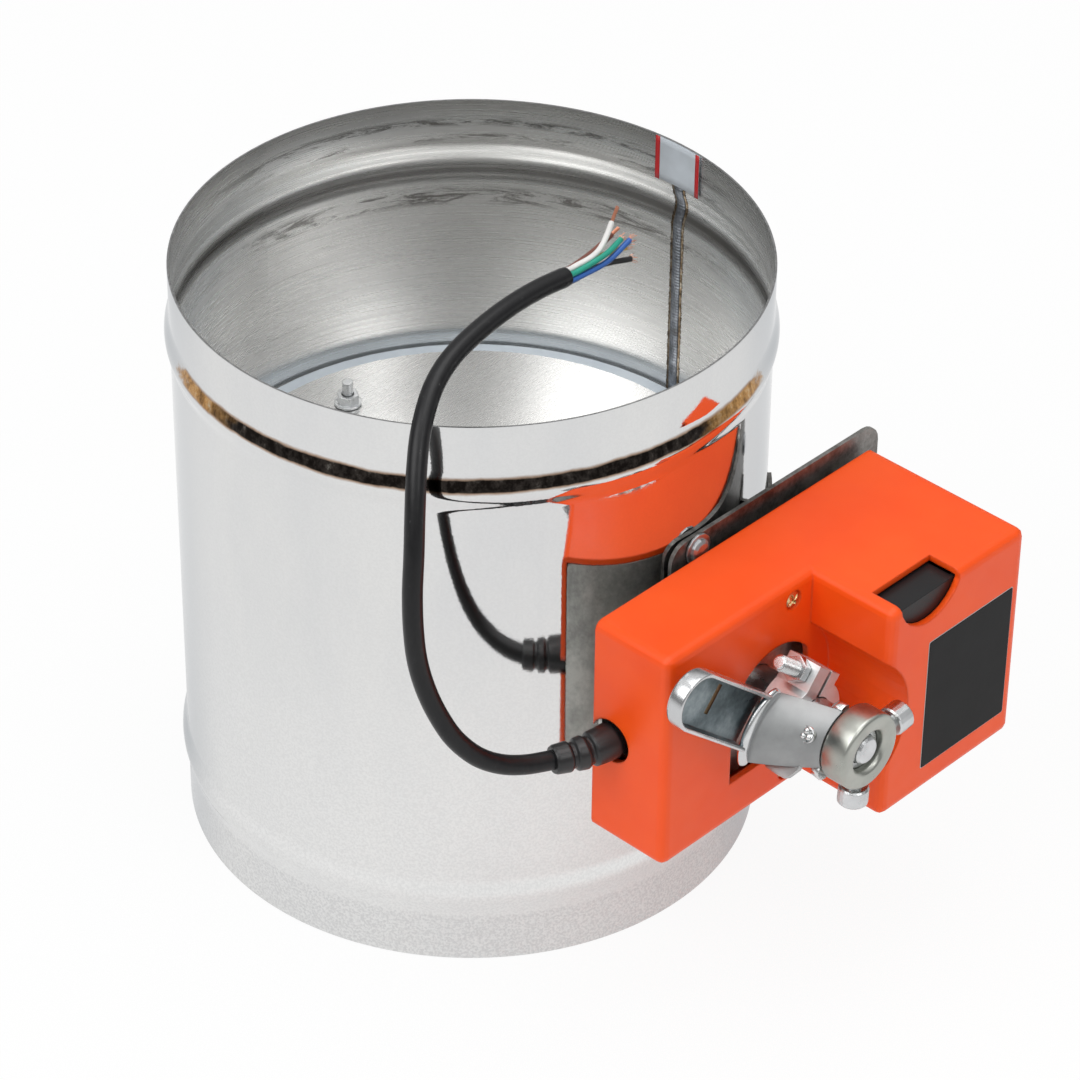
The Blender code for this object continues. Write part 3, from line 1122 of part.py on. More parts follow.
def main():
    clear_scene()
    root = empty("duct_axis", (DUCT_X, 0, 0))
    rotor = empty("blade_axis", (0, 0, SHAFT_Z), root)
    duct_casing(root)
    bushes(root)
    mount_plate(root)
    plate_fasteners(root)
    plate_bracket(root)
    base_fasteners(root)
    actuator_base(root)
    actuator_housing(root)
    cover_fasteners(root)
    gear_frame(root)
    drive_motor(root)
    circuit(root)
    limit_switches(root)
    terminal_block(root)
    output_parts(rotor, gear_train(root))
    shaft_and_blade(rotor)
    release_button(root)
    lead(root)


main()
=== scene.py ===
"""Looks of the motorized round damper: camera, lead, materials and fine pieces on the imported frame."""
import bmesh
import bpy
import numpy as np
from math import ceil, cos, pi, radians, sin, sqrt
from mathutils import Matrix, Vector


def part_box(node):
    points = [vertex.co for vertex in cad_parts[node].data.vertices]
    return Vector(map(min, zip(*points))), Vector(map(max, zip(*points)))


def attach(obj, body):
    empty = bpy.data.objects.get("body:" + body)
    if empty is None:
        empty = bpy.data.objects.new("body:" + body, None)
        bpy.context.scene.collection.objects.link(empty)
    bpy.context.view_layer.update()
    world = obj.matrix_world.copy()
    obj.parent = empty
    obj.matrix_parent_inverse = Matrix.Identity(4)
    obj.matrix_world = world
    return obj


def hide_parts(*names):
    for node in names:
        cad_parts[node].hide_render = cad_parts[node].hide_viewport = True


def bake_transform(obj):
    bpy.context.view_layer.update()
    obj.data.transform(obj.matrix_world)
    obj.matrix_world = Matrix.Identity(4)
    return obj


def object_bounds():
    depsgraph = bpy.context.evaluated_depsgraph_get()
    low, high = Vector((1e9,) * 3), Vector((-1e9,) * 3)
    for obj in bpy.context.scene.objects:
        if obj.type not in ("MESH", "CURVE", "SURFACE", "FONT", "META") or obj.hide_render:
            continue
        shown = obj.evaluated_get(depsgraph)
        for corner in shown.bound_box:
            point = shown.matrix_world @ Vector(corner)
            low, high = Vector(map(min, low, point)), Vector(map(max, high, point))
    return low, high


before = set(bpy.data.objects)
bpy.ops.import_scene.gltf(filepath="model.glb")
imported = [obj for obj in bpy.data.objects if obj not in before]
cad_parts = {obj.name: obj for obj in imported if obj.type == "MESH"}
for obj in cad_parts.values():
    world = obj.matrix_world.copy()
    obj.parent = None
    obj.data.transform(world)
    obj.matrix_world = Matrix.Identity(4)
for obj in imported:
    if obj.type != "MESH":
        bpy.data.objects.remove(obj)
cad_low, cad_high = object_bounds()
MM = 0.001
# The duct in millimetres: its axis stands at DUCT_X in the row frame, and its lower rim at height 0.
DUCT_X = -35.3
DUCT_R = 100.0
DUCT_H = 218.0
SHEET = 0.8
INNER_R = DUCT_R - SHEET
BEADS_Z = (27.0, 193.0)
BEAD_HALF = 8.0
BEAD_RISE = 1.8
SHAFT_Z = 109.0
# The dark band painted on the upper bead as a reflection of the room: its height in metres, and its middle in turns
# round the axis.
BAND_Z = 0.1963
BAND_TURN = -0.13
SEAM_DEGREES = 88.9


def at(x, y, z):
    """A point of the damper, given in millimetres from the duct's axis, in the row frame."""
    return Vector((x + DUCT_X, y, z)) * MM


# ---------------------------------------------------------------- camera
# Solved from the rims, beads and the actuator's corners: the focal length f and the centre cx, cy in the photo's
# pixels, the distance d and height zc in millimetres, and the angles in radians.
CAM = dict(f=4447.28, d=1232.47, zc=1001.81, pitch=0.6297, yaw=0.0186, roll=0.01096, cx=539.07, cy=536.44,
           phi=-0.77636)
PHOTO = 1080
SENSOR = 36


def make_camera():
    """The photo's own camera, set in the duct's frame turned by phi and then moved to the row frame."""
    c = CAM
    a_axis = Vector((cos(c["phi"]), sin(c["phi"]), 0))
    b_axis = Vector((-sin(c["phi"]), cos(c["phi"]), 0))

    def to_row(v):
        return Vector((v.dot(a_axis), v.dot(b_axis), v.z))
    forward = Vector((sin(c["yaw"]) * cos(c["pitch"]), cos(c["yaw"]) * cos(c["pitch"]), -sin(c["pitch"])))
    right = forward.cross(Vector((0, 0, 1))).normalized()
    up = right.cross(forward)
    r = cos(c["roll"]) * right + sin(c["roll"]) * up
    u = -sin(c["roll"]) * right + cos(c["roll"]) * up
    r, u, back = to_row(r), to_row(u), -to_row(forward)
    place = to_row(Vector((0, -c["d"], c["zc"])))
    data = bpy.data.cameras.new("camera")
    data.lens = c["f"] / PHOTO * SENSOR
    data.sensor_width = SENSOR
    data.shift_x = (PHOTO / 2 - c["cx"]) / PHOTO
    data.shift_y = (c["cy"] - PHOTO / 2) / PHOTO
    data.clip_start, data.clip_end = 0.05, 20
    cam = bpy.data.objects.new("camera", data)
    bpy.context.collection.objects.link(cam)
    where = at(place.x, place.y, place.z)
    cam.matrix_world = Matrix((
        (r.x, u.x, back.x, where.x), (r.y, u.y, back.y, where.y), (r.z, u.z, back.z, where.z), (0, 0, 0, 1)))
    bpy.context.scene.camera = cam


# ---------------------------------------------------------------- node helpers
class Tree:
    """A node tree being wired: most calls return an output socket."""

    def __init__(self, tree):
        self.t = tree
        self.n = 0

    def node(self, kind, **props):
        made = self.t.nodes.new(kind)
        made.location = (-300 - 180 * (self.n // 5), 240 * (self.n % 5))
        self.n += 1
        for key, value in props.items():
            setattr(made, key, value)
        return made

    def put(self, socket, value):
        if isinstance(value, bpy.types.NodeSocket):
            self.t.links.new(value, socket)
        elif isinstance(value, (tuple, list)) and len(value) == 3 and socket.type == "RGBA":
            socket.default_value = (*value, 1)
        else:
            socket.default_value = value

    def coords(self, scale=(1, 1, 1), move=(0, 0, 0)):
        source = self.node("ShaderNodeTexCoord")
        mapping = self.node("ShaderNodeMapping")
        mapping.inputs["Scale"].default_value = scale
        mapping.inputs["Location"].default_value = move
        self.t.links.new(source.outputs["Object"], mapping.inputs["Vector"])
        return mapping.outputs["Vector"]

    def noise(self, scale, detail=3.0, rough=0.5, vector=None, distortion=0.0):
        made = self.node("ShaderNodeTexNoise")
        made.inputs["Scale"].default_value = scale
        made.inputs["Detail"].default_value = detail
        made.inputs["Roughness"].default_value = rough
        made.inputs["Distortion"].default_value = distortion
        self.put(made.inputs["Vector"], vector if vector is not None else self.coords())
        return made.outputs["Fac"]

    def ramp(self, fac, stops):
        made = self.node("ShaderNodeValToRGB")
        ramp = made.color_ramp
        while len(ramp.elements) > len(stops):
            ramp.elements.remove(ramp.elements[-1])
        while len(ramp.elements) < len(stops):
            ramp.elements.new(0.5)
        for element, (pos, color) in zip(ramp.elements, stops):
            element.position = pos
            if isinstance(color, (int, float)):
                color = (color, color, color)
            element.color = (*color, 1)
        self.put(made.inputs["Fac"], fac)
        return made.outputs["Color"]

    def math(self, op, a, b=0.0):
        made = self.node("ShaderNodeMath", operation=op)
        self.put(made.inputs[0], a)
        self.put(made.inputs[1], b)
        return made.outputs[0]

    def times(self, a, b):
        return self.math("MULTIPLY", a, b)

    def span(self, value, low, high, to_low=0.0, to_high=1.0, smooth=True):
        """The value's place between low and high, mapped to to_low ... to_high and held there outside."""
        made = self.node("ShaderNodeMapRange")
        made.interpolation_type = "SMOOTHSTEP" if smooth else "LINEAR"
        for key, number in zip(("From Min", "From Max", "To Min", "To Max"), (low, high, to_low, to_high)):
            made.inputs[key].default_value = number
        self.put(made.inputs["Value"], value)
        return made.outputs["Result"]

    def mix(self, fac, a, b):
        made = self.node("ShaderNodeMix", data_type="RGBA")
        self.put(made.inputs[0], fac)
        self.put(made.inputs[6], a)
        self.put(made.inputs[7], b)
        return made.outputs[2]

    def xyz(self, vector):
        made = self.node("ShaderNodeSeparateXYZ")
        self.put(made.inputs[0], vector)
        return made.outputs["X"], made.outputs["Y"], made.outputs["Z"]

    def vector(self, x, y, z):
        made = self.node("ShaderNodeCombineXYZ")
        for socket, value in zip(made.inputs, (x, y, z)):
            self.put(socket, value)
        return made.outputs[0]

    def bump(self, height, strength=0.2, distance=0.0005, normal=None):
        made = self.node("ShaderNodeBump")
        made.inputs["Strength"].default_value = strength
        made.inputs["Distance"].default_value = distance
        self.put(made.inputs["Height"], height)
        if normal is not None:
            self.put(made.inputs["Normal"], normal)
        return made.outputs["Normal"]

    def soft_edges(self, radius):
        """Normals that round the edges off, for pieces whose solids have sharp ones."""
        made = self.node("ShaderNodeBevel", samples=4)
        made.inputs["Radius"].default_value = radius
        return made.outputs["Normal"]


class Mat(Tree):
    """A material's tree, with its shader's inputs set by name."""

    def __init__(self, name):
        self.mat = bpy.data.materials.new(name)
        self.mat.use_nodes = True
        super().__init__(self.mat.node_tree)
        self.shader = self.t.nodes["Principled BSDF"]

    def set(self, **values):
        for key, value in values.items():
            self.put(self.shader.inputs[key.replace("_", " ")], value)


def duct_angle_height(m):
    """Angle round the duct's axis (turns) and height above its lower rim (metres)."""
    x, y, z = m.xyz(m.coords(move=(-DUCT_X * MM, 0, 0)))
    turn = m.math("DIVIDE", m.math("ARCTAN2", y, x), 2 * pi)
    return turn, z


def band(m, value, middle, half, soft):
    """1 within half of middle, falling to 0 over soft."""
    off = m.math("ABSOLUTE", m.math("SUBTRACT", value, middle))
    return m.span(off, half, half + soft, 1.0, 0.0)


# ---------------------------------------------------------------- materials
# Heights in metres above the lower rim: the duct's foot below the lower bead, darkened by a painted reflection of the
# floor's weave, the rubbed marks on the inside as (height, half height, fade, threshold), and on the inside of the
# upper bead its broad ring and thin dark line of painted shade.
FOOT_WEAVE_REFLECTION_Z = (0.0175, 0.0195)
RUBS = ((0.2095, 0.0005, 0.0018, 0.46), (0.2035, 0.0006, 0.0016, 0.5), (0.1795, 0.0016, 0.003, 0.47))
BEAD_SHADE_RING = (0.1985, 0.003, 0.0022)
BEAD_SHADE_LINE = (0.1893, 0.0004, 0.0012)
# In turns: the outside seam line's half width and fade.
SEAM_LINE = (0.0022, 0.0012)


def duct_outside():
    """Bright rolled steel: grained, and paler and more grained towards its foot as a painted reflection of the floor,
    greyer on both sides of the photo's view as a painted reflection, with a dark band painted on the upper bead as a
    reflection of the room, and the weld as a thin line."""
    m = Mat("duct_outside")
    turn, z = duct_angle_height(m)
    ripple = m.vector(m.times(turn, 9.0), 0.0, m.times(z, 3.0))
    waves = m.noise(1.0, 2.0, 0.45, ripple)
    fine = m.noise(1100, 2.0, 0.6)
    smear = m.noise(26, 5.0, 0.6, m.coords((1, 1, 0.35)))
    tint = m.ramp(smear, [(0.3, (0.71, 0.715, 0.72)), (0.7, (0.775, 0.775, 0.765))])
    # Painted reflection of the white floor: paler and more grained towards the foot, and a darker fine weave below the
    # lower bead.
    tint = m.mix(m.span(z, 0.03, 0.14, 0.62, 0.0), tint, (0.9, 0.9, 0.89))
    grain = m.times(m.span(z, 0.03, 0.15, 0.3, 0.14), m.span(fine, 0.35, 0.65))
    tint = m.mix(grain, tint, (0.6, 0.6, 0.6))
    tint = m.mix(m.times(m.span(z, *FOOT_WEAVE_REFLECTION_Z, 1.0, 0.0), m.span(fine, 0.4, 0.62, 0.08, 0.3)), tint, (0.5, 0.5, 0.51))
    # Painted reflection: greyer and bluer on both sides of the view at BAND_TURN.
    side = m.math("PINGPONG", m.math("SUBTRACT", turn, BAND_TURN), 0.25)
    tint = m.mix(m.span(side, 0.15, 0.235), tint, (0.47, 0.495, 0.52))
    # The upper bead's dark band: a painted reflection of the room.
    color = paint_bead_reflection(m, turn, z, tint)
    line = m.times(band(m, turn, SEAM_DEGREES / 360, *SEAM_LINE), m.span(smear, 0.3, 0.7, 0.35, 0.7))
    color = m.mix(line, color, (0.33, 0.31, 0.29))
    rough = m.math("ADD", m.span(z, 0.05, 0.17, 0.09, 0.03), m.times(fine, 0.03))
    m.set(Base_Color=color, Metallic=1.0, Roughness=rough,
          Normal=m.bump(waves, 0.35, 0.0016, m.bump(fine, 0.03, 0.0002)))
    return m.mat


def paint_bead_reflection(m, turn, z, under):
    """The dark, amber-edged band painted on the upper flank of the top bead as a reflection of the room."""
    wobble = m.noise(90, 4.0, 0.6, m.coords((1, 1, 2.0)))
    z = m.math("ADD", z, m.times(m.math("SUBTRACT", wobble, 0.5), 0.0016))
    side = m.math("PINGPONG", m.math("SUBTRACT", turn, BAND_TURN), 0.5)
    side = m.math("ADD", side, m.times(m.math("SUBTRACT", wobble, 0.5), 0.05))
    reach = m.span(side, 0.178, 0.19, 1.0, 0.0)
    flecks = m.noise(330, 5.0, 0.75, m.coords((1, 1, 0.6)))
    dark = m.ramp(flecks, [(0.45, (0.01, 0.008, 0.007)), (0.62, (0.04, 0.034, 0.03)), (0.74, (0.16, 0.15, 0.135))])
    amber = m.ramp(flecks, [(0.35, (0.16, 0.075, 0.02)), (0.55, (0.5, 0.27, 0.09)), (0.75, (0.62, 0.5, 0.33))])
    core = m.mix(m.span(side, 0.125, 0.165), dark, amber)
    edge = m.times(band(m, z, BAND_Z, 0.0021, 0.0011), m.times(reach, 0.8))
    edged = m.mix(edge, under, (0.3, 0.16, 0.07))
    return m.mix(m.times(band(m, z, BAND_Z, 0.0017, 0.0006), reach), edged, core)


def duct_inside():
    """Satin steel drawn round the duct, with fine dark lines, rubbed marks at the upper bead, and painted shade on the
    inside of the upper bead.
    """
    m = Mat("duct_inside")
    turn, z = duct_angle_height(m)
    streaks = m.noise(1.0, 4.0, 0.6, m.vector(m.times(turn, 6.0), 0.0, m.times(z, 1500.0)))
    lines = m.noise(1.0, 2.0, 0.6, m.vector(m.times(turn, 3.0), 7.0, m.times(z, 420.0)))
    broad = m.noise(1.0, 3.0, 0.5, m.vector(m.times(turn, 7.0), 0.0, m.times(z, 9.0)))
    shade = m.ramp(broad, [(0.3, (0.68, 0.675, 0.665)), (0.7, (0.83, 0.825, 0.815))])
    color = m.mix(m.span(streaks, 0.35, 0.75, 0.0, 0.14), shade, (0.5, 0.495, 0.48))
    color = m.mix(m.span(lines, 0.66, 0.72, 0.0, 0.35), color, (0.35, 0.34, 0.33))
    scuff = m.noise(45, 8.0, 0.85, m.coords((1, 1, 6.5)), 0.8)
    side = m.math("PINGPONG", m.math("SUBTRACT", turn, BAND_TURN + 0.5), 0.25)
    rubbed = m.span(side, 0.1, 0.2, 1.0, 0.15)
    for height, half, fade, low in RUBS:
        spots = m.times(m.span(scuff, low, low + 0.1), band(m, z, height, half, fade))
        color = m.mix(m.times(spots, m.times(rubbed, 0.85)), color, (0.17, 0.16, 0.15))
    # Painted shade on the inside of the upper bead: a broad ring and a thin dark line.
    ring = m.math("ADD", z, m.times(m.math("SUBTRACT", broad, 0.5), 0.0012))
    color = m.mix(m.times(band(m, ring, *BEAD_SHADE_RING), 0.5), color, (0.42, 0.415, 0.4))
    color = m.mix(m.times(band(m, ring, *BEAD_SHADE_LINE), 0.6), color, (0.2, 0.19, 0.18))
    rough = m.span(streaks, 0.2, 0.8, 0.22, 0.34, False)
    m.set(Base_Color=color, Metallic=1.0, Roughness=rough, Anisotropic=0.75,
          Normal=m.bump(streaks, 0.045, 0.0002))
    return m.mat


def cut_edge():
    m = Mat("cut_edge")
    m.set(Base_Color=m.ramp(m.noise(500), [(0.3, 0.24), (0.7, 0.42)]), Metallic=1.0, Roughness=0.3)
    return m.mat


def weld_seam():
    """The weld's blued, rippled bead."""
    m = Mat("weld_seam")
    ripples = m.node("ShaderNodeTexWave", wave_type="BANDS", bands_direction="Z")
    ripples.inputs["Scale"].default_value = 260
    ripples.inputs["Distortion"].default_value = 1.5
    m.put(ripples.inputs["Vector"], m.coords())
    patch = m.noise(150, 5.0, 0.75)
    color = m.ramp(patch, [(0.3, (0.1, 0.1, 0.105)), (0.5, (0.2, 0.215, 0.24)), (0.66, (0.34, 0.36, 0.4)),
                           (0.78, (0.66, 0.68, 0.72))])
    m.set(Base_Color=color, Metallic=0.9, Roughness=0.32,
          Normal=m.bump(ripples.outputs["Fac"], 0.3, 0.0003))
    return m.mat


def heat_tint():
    """The sheet's brown tint along the weld."""
    m = Mat("heat_tint")
    patch = m.noise(420, 5.0, 0.75, m.coords((1, 1, 0.8)))
    color = m.ramp(patch, [(0.36, (0.07, 0.05, 0.035)), (0.5, (0.26, 0.19, 0.12)), (0.62, (0.5, 0.44, 0.36))])
    m.set(Base_Color=color, Metallic=1.0, Roughness=0.36)
    return m.mat


def blade_face():
    """Satin steel brushed across the shaft."""
    m = Mat("blade_face")
    grain = m.noise(2.0, 4.0, 0.6, m.coords((700, 12, 12)))
    cloud = m.noise(18, 4.0, 0.55)
    color = m.ramp(cloud, [(0.3, (0.66, 0.665, 0.66)), (0.7, (0.78, 0.78, 0.77))])
    m.set(Base_Color=color, Metallic=1.0, Roughness=m.span(grain, 0.2, 0.8, 0.22, 0.32, False), Anisotropic=0.3,
          Normal=m.bump(grain, 0.035, 0.0002))
    return m.mat


def gasket():
    m = Mat("gasket")
    pores = m.noise(1500, 3.0, 0.6)
    m.set(Base_Color=m.ramp(m.noise(60, 4), [(0.3, (0.53, 0.59, 0.65)), (0.7, (0.62, 0.68, 0.73))]), Roughness=0.62,
          Normal=m.bump(pores, 0.2, 0.0002))
    return m.mat


def galvanized(name, dark, light):
    """Cloudy, gritty steel between two colours."""
    m = Mat(name)
    cloud = m.noise(55, 6.0, 0.7)
    grit = m.noise(520, 5.0, 0.7)
    color = m.ramp(m.math("ADD", m.times(cloud, 0.7), m.times(grit, 0.3)),
                   [(0.4, dark), (0.6, light)])
    m.set(Base_Color=color, Metallic=0.85, Roughness=m.span(cloud, 0.3, 0.7, 0.34, 0.52, False),
          Normal=m.bump(grit, 0.12, 0.0003, m.soft_edges(0.0003)))
    return m.mat


def zinc(name, base=(0.72, 0.735, 0.745), rough=0.22, edges=0.0005):
    """Bright zinc plate, cloudy and scratched, with its edges rounded by this radius in metres."""
    m = Mat(name)
    cloud = m.noise(90, 5.0, 0.6)
    color = m.mix(m.span(cloud, 0.35, 0.7), tuple(0.8 * v for v in base), base)
    scratch = m.noise(3.0, 4.0, 0.7, m.coords((300, 900, 300)))
    m.set(Base_Color=color, Metallic=1.0, Roughness=m.span(cloud, 0.3, 0.7, rough, rough + 0.12, False),
          Normal=m.bump(scratch, 0.08, 0.0002, m.soft_edges(edges)))
    return m.mat


def orange():
    """The moulded housing, with a slight orange peel."""
    m = Mat("orange_moulding")
    cloud = m.noise(30, 3.0, 0.5)
    color = m.ramp(cloud, [(0.3, (0.95, 0.08, 0.004)), (0.7, (1.0, 0.1, 0.006))])
    peel = m.noise(420, 3.0, 0.55)
    m.set(Base_Color=color, Roughness=m.span(m.noise(140, 4), 0.3, 0.7, 0.3, 0.4, False),
          Normal=m.bump(peel, 0.05, 0.0003, m.soft_edges(0.0012)), Specular_IOR_Level=0.35)
    return m.mat


def black(name, rough, base, grain, gloss=0.5):
    m = Mat(name)
    m.set(Base_Color=m.ramp(m.noise(90, 4), [(0.3, tuple(0.75 * v for v in base)), (0.7, base)]),
          Roughness=rough, Normal=m.bump(m.noise(grain, 3.0, 0.6), 0.15, 0.0002, m.soft_edges(0.0004)),
          Specular_IOR_Level=gloss)
    return m.mat


def jacket_rubber():
    """The lead's black sheath, faintly streaked along its length and scuffed with fine pale flecks."""
    m = Mat("jacket")
    scuff = m.noise(520, 5.0, 0.75, m.coords((1, 1, 0.3)))
    m.set(Base_Color=m.ramp(scuff, [(0.3, (0.007, 0.007, 0.008)), (0.66, (0.012, 0.012, 0.013)),
                                    (0.74, (0.12, 0.12, 0.12))]),
          Roughness=0.34, Normal=m.bump(m.noise(260, 3.0, 0.6, m.coords((1, 1, 0.2))), 0.14, 0.0003),
          Specular_IOR_Level=0.3)
    return m.mat


def plastic(name, color, rough, grain=300):
    m = Mat(name)
    dim = tuple(0.8 * v for v in color)
    m.set(Base_Color=m.ramp(m.noise(80, 3), [(0.3, dim), (0.7, color)]), Roughness=rough,
          Normal=m.bump(m.noise(grain, 3.0, 0.6), 0.08, 0.0002))
    return m.mat


def metal(name, color, rough):
    m = Mat(name)
    dim = tuple(0.7 * v for v in color)
    m.set(Base_Color=m.ramp(m.noise(300, 4), [(0.3, dim), (0.7, color)]), Metallic=1.0, Roughness=rough,
          Normal=m.bump(m.noise(900, 3), 0.1, 0.0001))
    return m.mat


# ---------------------------------------------------------------- mesh helpers
def finish_mesh(name, bm, mats, body, replaces, sharp=35.0):
    """The mesh as an object that rides body, or one left unattached for the caller where body is None."""
    bmesh.ops.remove_doubles(bm, verts=bm.verts, dist=1e-7)
    bmesh.ops.recalc_face_normals(bm, faces=bm.faces)
    mesh = bpy.data.meshes.new(name)
    bm.to_mesh(mesh)
    bm.free()
    for mat in mats:
        mesh.materials.append(mat)
    mesh.shade_smooth()
    mesh.set_sharp_from_angle(angle=radians(sharp))
    obj = bpy.data.objects.new(name, mesh)
    bpy.context.collection.objects.link(obj)
    if body:
        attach(obj, body)
    if replaces:
        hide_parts(*replaces)
    return obj


def bridge(bm, low, high):
    """Faces between two closed loops of vertices; a loop that repeats one vertex gives triangles."""
    return [bm.faces.new(list(dict.fromkeys((low[k - 1], low[k], high[k], high[k - 1])))) for k in range(len(low))]


def skin(bm, loops):
    """A capped body through closed loops of vertices."""
    for low, high in zip(loops, loops[1:]):
        bridge(bm, low, high)
    bm.faces.new(loops[0])
    bm.faces.new(loops[-1])


def lathe(profile, steps, axis, place, slots=None):
    """A ring whose section is the closed profile of (height, radius) points in millimetres, round an axis
    through place; slots gives the material of each stretch of it."""
    bm = bmesh.new()
    along, side, up = {"X": ((1, 0, 0), (0, 1, 0), (0, 0, 1)), "Z": ((0, 0, 1), (1, 0, 0), (0, 1, 0))}[axis]
    along, side, up = Vector(along), Vector(side), Vector(up)
    loops = [[bm.verts.new(place + along * h * MM
                           + (side * cos(2 * pi * n / steps) + up * sin(2 * pi * n / steps)) * r * MM)
              for n in range(steps)] for h, r in profile]
    for k, low in enumerate(loops):
        for face in bridge(bm, low, loops[(k + 1) % len(loops)]):
            if slots:
                face.material_index = slots[k]
    return bm


def catmull(route, step):
    """Points about one step apart on the smooth curve through a route."""
    knots = [Vector(p) for p in route]
    knots = [2 * knots[0] - knots[1]] + knots + [2 * knots[-1] - knots[-2]]
    points = []
    for n in range(1, len(knots) - 2):
        a, b, c, d = knots[n - 1:n + 3]
        count = max(1, ceil((c - b).length / step))
        for k in range(count):
            t = k / count
            points.append(0.5 * (2 * b + (c - a) * t + (2 * a - 5 * b + 4 * c - d) * t ** 2
                                 + (3 * b - a - 3 * c + d) * t ** 3))
    return points + [knots[-2]]


def tube(name, points, radii, mat, body, replaces, steps):
    """A tube with flat ends along points in metres, with a radius at each in millimetres."""
    bm = bmesh.new()
    tangents = [(points[min(n + 1, len(points) - 1)] - points[max(n - 1, 0)]).normalized()
                for n in range(len(points))]
    normal = tangents[0].orthogonal().normalized()
    rings = []
    for point, tangent, radius in zip(points, tangents, radii):
        normal = (normal - normal.dot(tangent) * tangent).normalized()
        other = tangent.cross(normal)
        rings.append([bm.verts.new(point + (normal * cos(2 * pi * n / steps) + other * sin(2 * pi * n / steps))
                                   * radius * MM) for n in range(steps)])
    skin(bm, rings)
    return finish_mesh(name, bm, [mat], body, replaces)


# ---------------------------------------------------------------- lead
# Routes in millimetres. The relief's profile gives (share of its length, share of RELIEF_R).
CABLE_ROUTE = ((106.1, -70.8, 106.2), (102.8, -80.6, 108.0), (99.6, -88.8, 111.2), (96.0, -95.8, 116.4),
               (92.2, -101.7, 124.6), (89.0, -105.5, 134.0), (86.3, -108.2, 144.0), (84.2, -109.9, 155.0),
               (82.8, -110.2, 166.5), (81.0, -108.8, 179.0), (78.5, -105.5, 191.5), (74.2, -100.6, 203.6),
               (69.1, -94.7, 213.6), (63.6, -87.2, 221.9), (58.0, -76.6, 229.1), (54.4, -65.0, 233.4),
               (52.1, -50.5, 235.8), (50.6, -35.0, 236.9), (50.0, -21.2, 236.8), (50.0, -8.3, 235.7))
RELIEF_ROUTE = ((113.0, -44.5, 106.9), (112.7, -51.0, 106.7), (110.5, -60.0, 106.1), (108.3, -65.6, 106.0),
                (106.0, -71.3, 106.25))
RELIEF_R = 6.3
RELIEF_PROFILE = ((0, 0.84), (0.2, 0.84), (0.215, 0.93), (0.24, 1), (0.49, 0.95), (0.51, 0.9), (0.525, 0.77),
                  (0.565, 0.77), (0.58, 0.86), (0.6, 0.91), (0.7, 0.87), (0.715, 0.82), (0.73, 0.7), (0.78, 0.7),
                  (0.795, 0.79), (0.815, 0.83), (0.97, 0.78), (1, 0.71))
CABLE_R = 3.3
CORE_R = 0.95
STRAND_R = 0.13
# The cores leave the jacket on a ring of CORE_RING, pass one of CORE_FAN_R round CORE_FAN and end at their tips:
# (name, degrees on both rings, tip, colour). CORE_HIDDEN lies inside the jacket, and CORE_STRAIGHT is straight.
CORE_HIDDEN = 1.5
CORE_STRAIGHT = 5.5
CORE_RING = 2.2
CORE_FAN = (49.6, 8.0, 235.6)
CORE_FAN_R = 2.9
CORES = (("core_black", -75, (51.6, 20.5, 230.0), (0.015, 0.015, 0.016)),
         ("core_blue", -15, (51.4, 20.0, 237.4), (0.03, 0.13, 0.46)),
         ("core_green", 40, (49.8, 17.5, 238.1), (0.012, 0.34, 0.24)),
         ("core_white", 95, (39.4, 26.6, 241.0), (0.84, 0.83, 0.81)),
         ("core_brown", 155, (45.2, 20.5, 238.4), (0.2, 0.06, 0.04)),
         ("core_yellow", 215, (50.7, 19.0, 234.8), (0.75, 0.52, 0.07)))
# The share of its length from which a stripped core is bare.
BARE_FROM = {"core_white": 0.84, "core_brown": 0.9}


def make_strands(name, line, short, mat, rng):
    """The core's bare copper: fine strands, twisted on a stripped end and curled out of a cut one."""
    out = (line[-1] - line[0]).normalized()
    other = out.cross(Vector((0, 0, 1))).normalized()
    third = out.cross(other)
    bm = bmesh.new()
    count, spine_steps = (7 if short else 12), 6
    for k in range(count):
        turn = 2 * pi * k / count
        reach = float(rng.uniform(0.6, 2.6 if short else 1.0))
        curl = float(rng.uniform(0.3, 1.5)) if short else 0.25
        spine = []
        for n in range(spine_steps + 1):
            t = n / spine_steps
            base = line[min(len(line) - 1, round(t * (len(line) - 1)))] + out * reach * t * t * MM
            wide = 0.5 + curl * t * t
            twist = turn + (1.2 if short else 3.0) * t
            spine.append(base + (other * cos(twist) + third * sin(twist)) * wide * MM * (1 - 0.3 * (not short) * t))
        skin(bm, [[bm.verts.new(p + (other * cos(q) + third * sin(q)) * STRAND_R * MM)
                   for q in (0, 2 * pi / 3, 4 * pi / 3)] for p in spine])
    return finish_mesh(name + "_strands", bm, [mat], "duct", ())


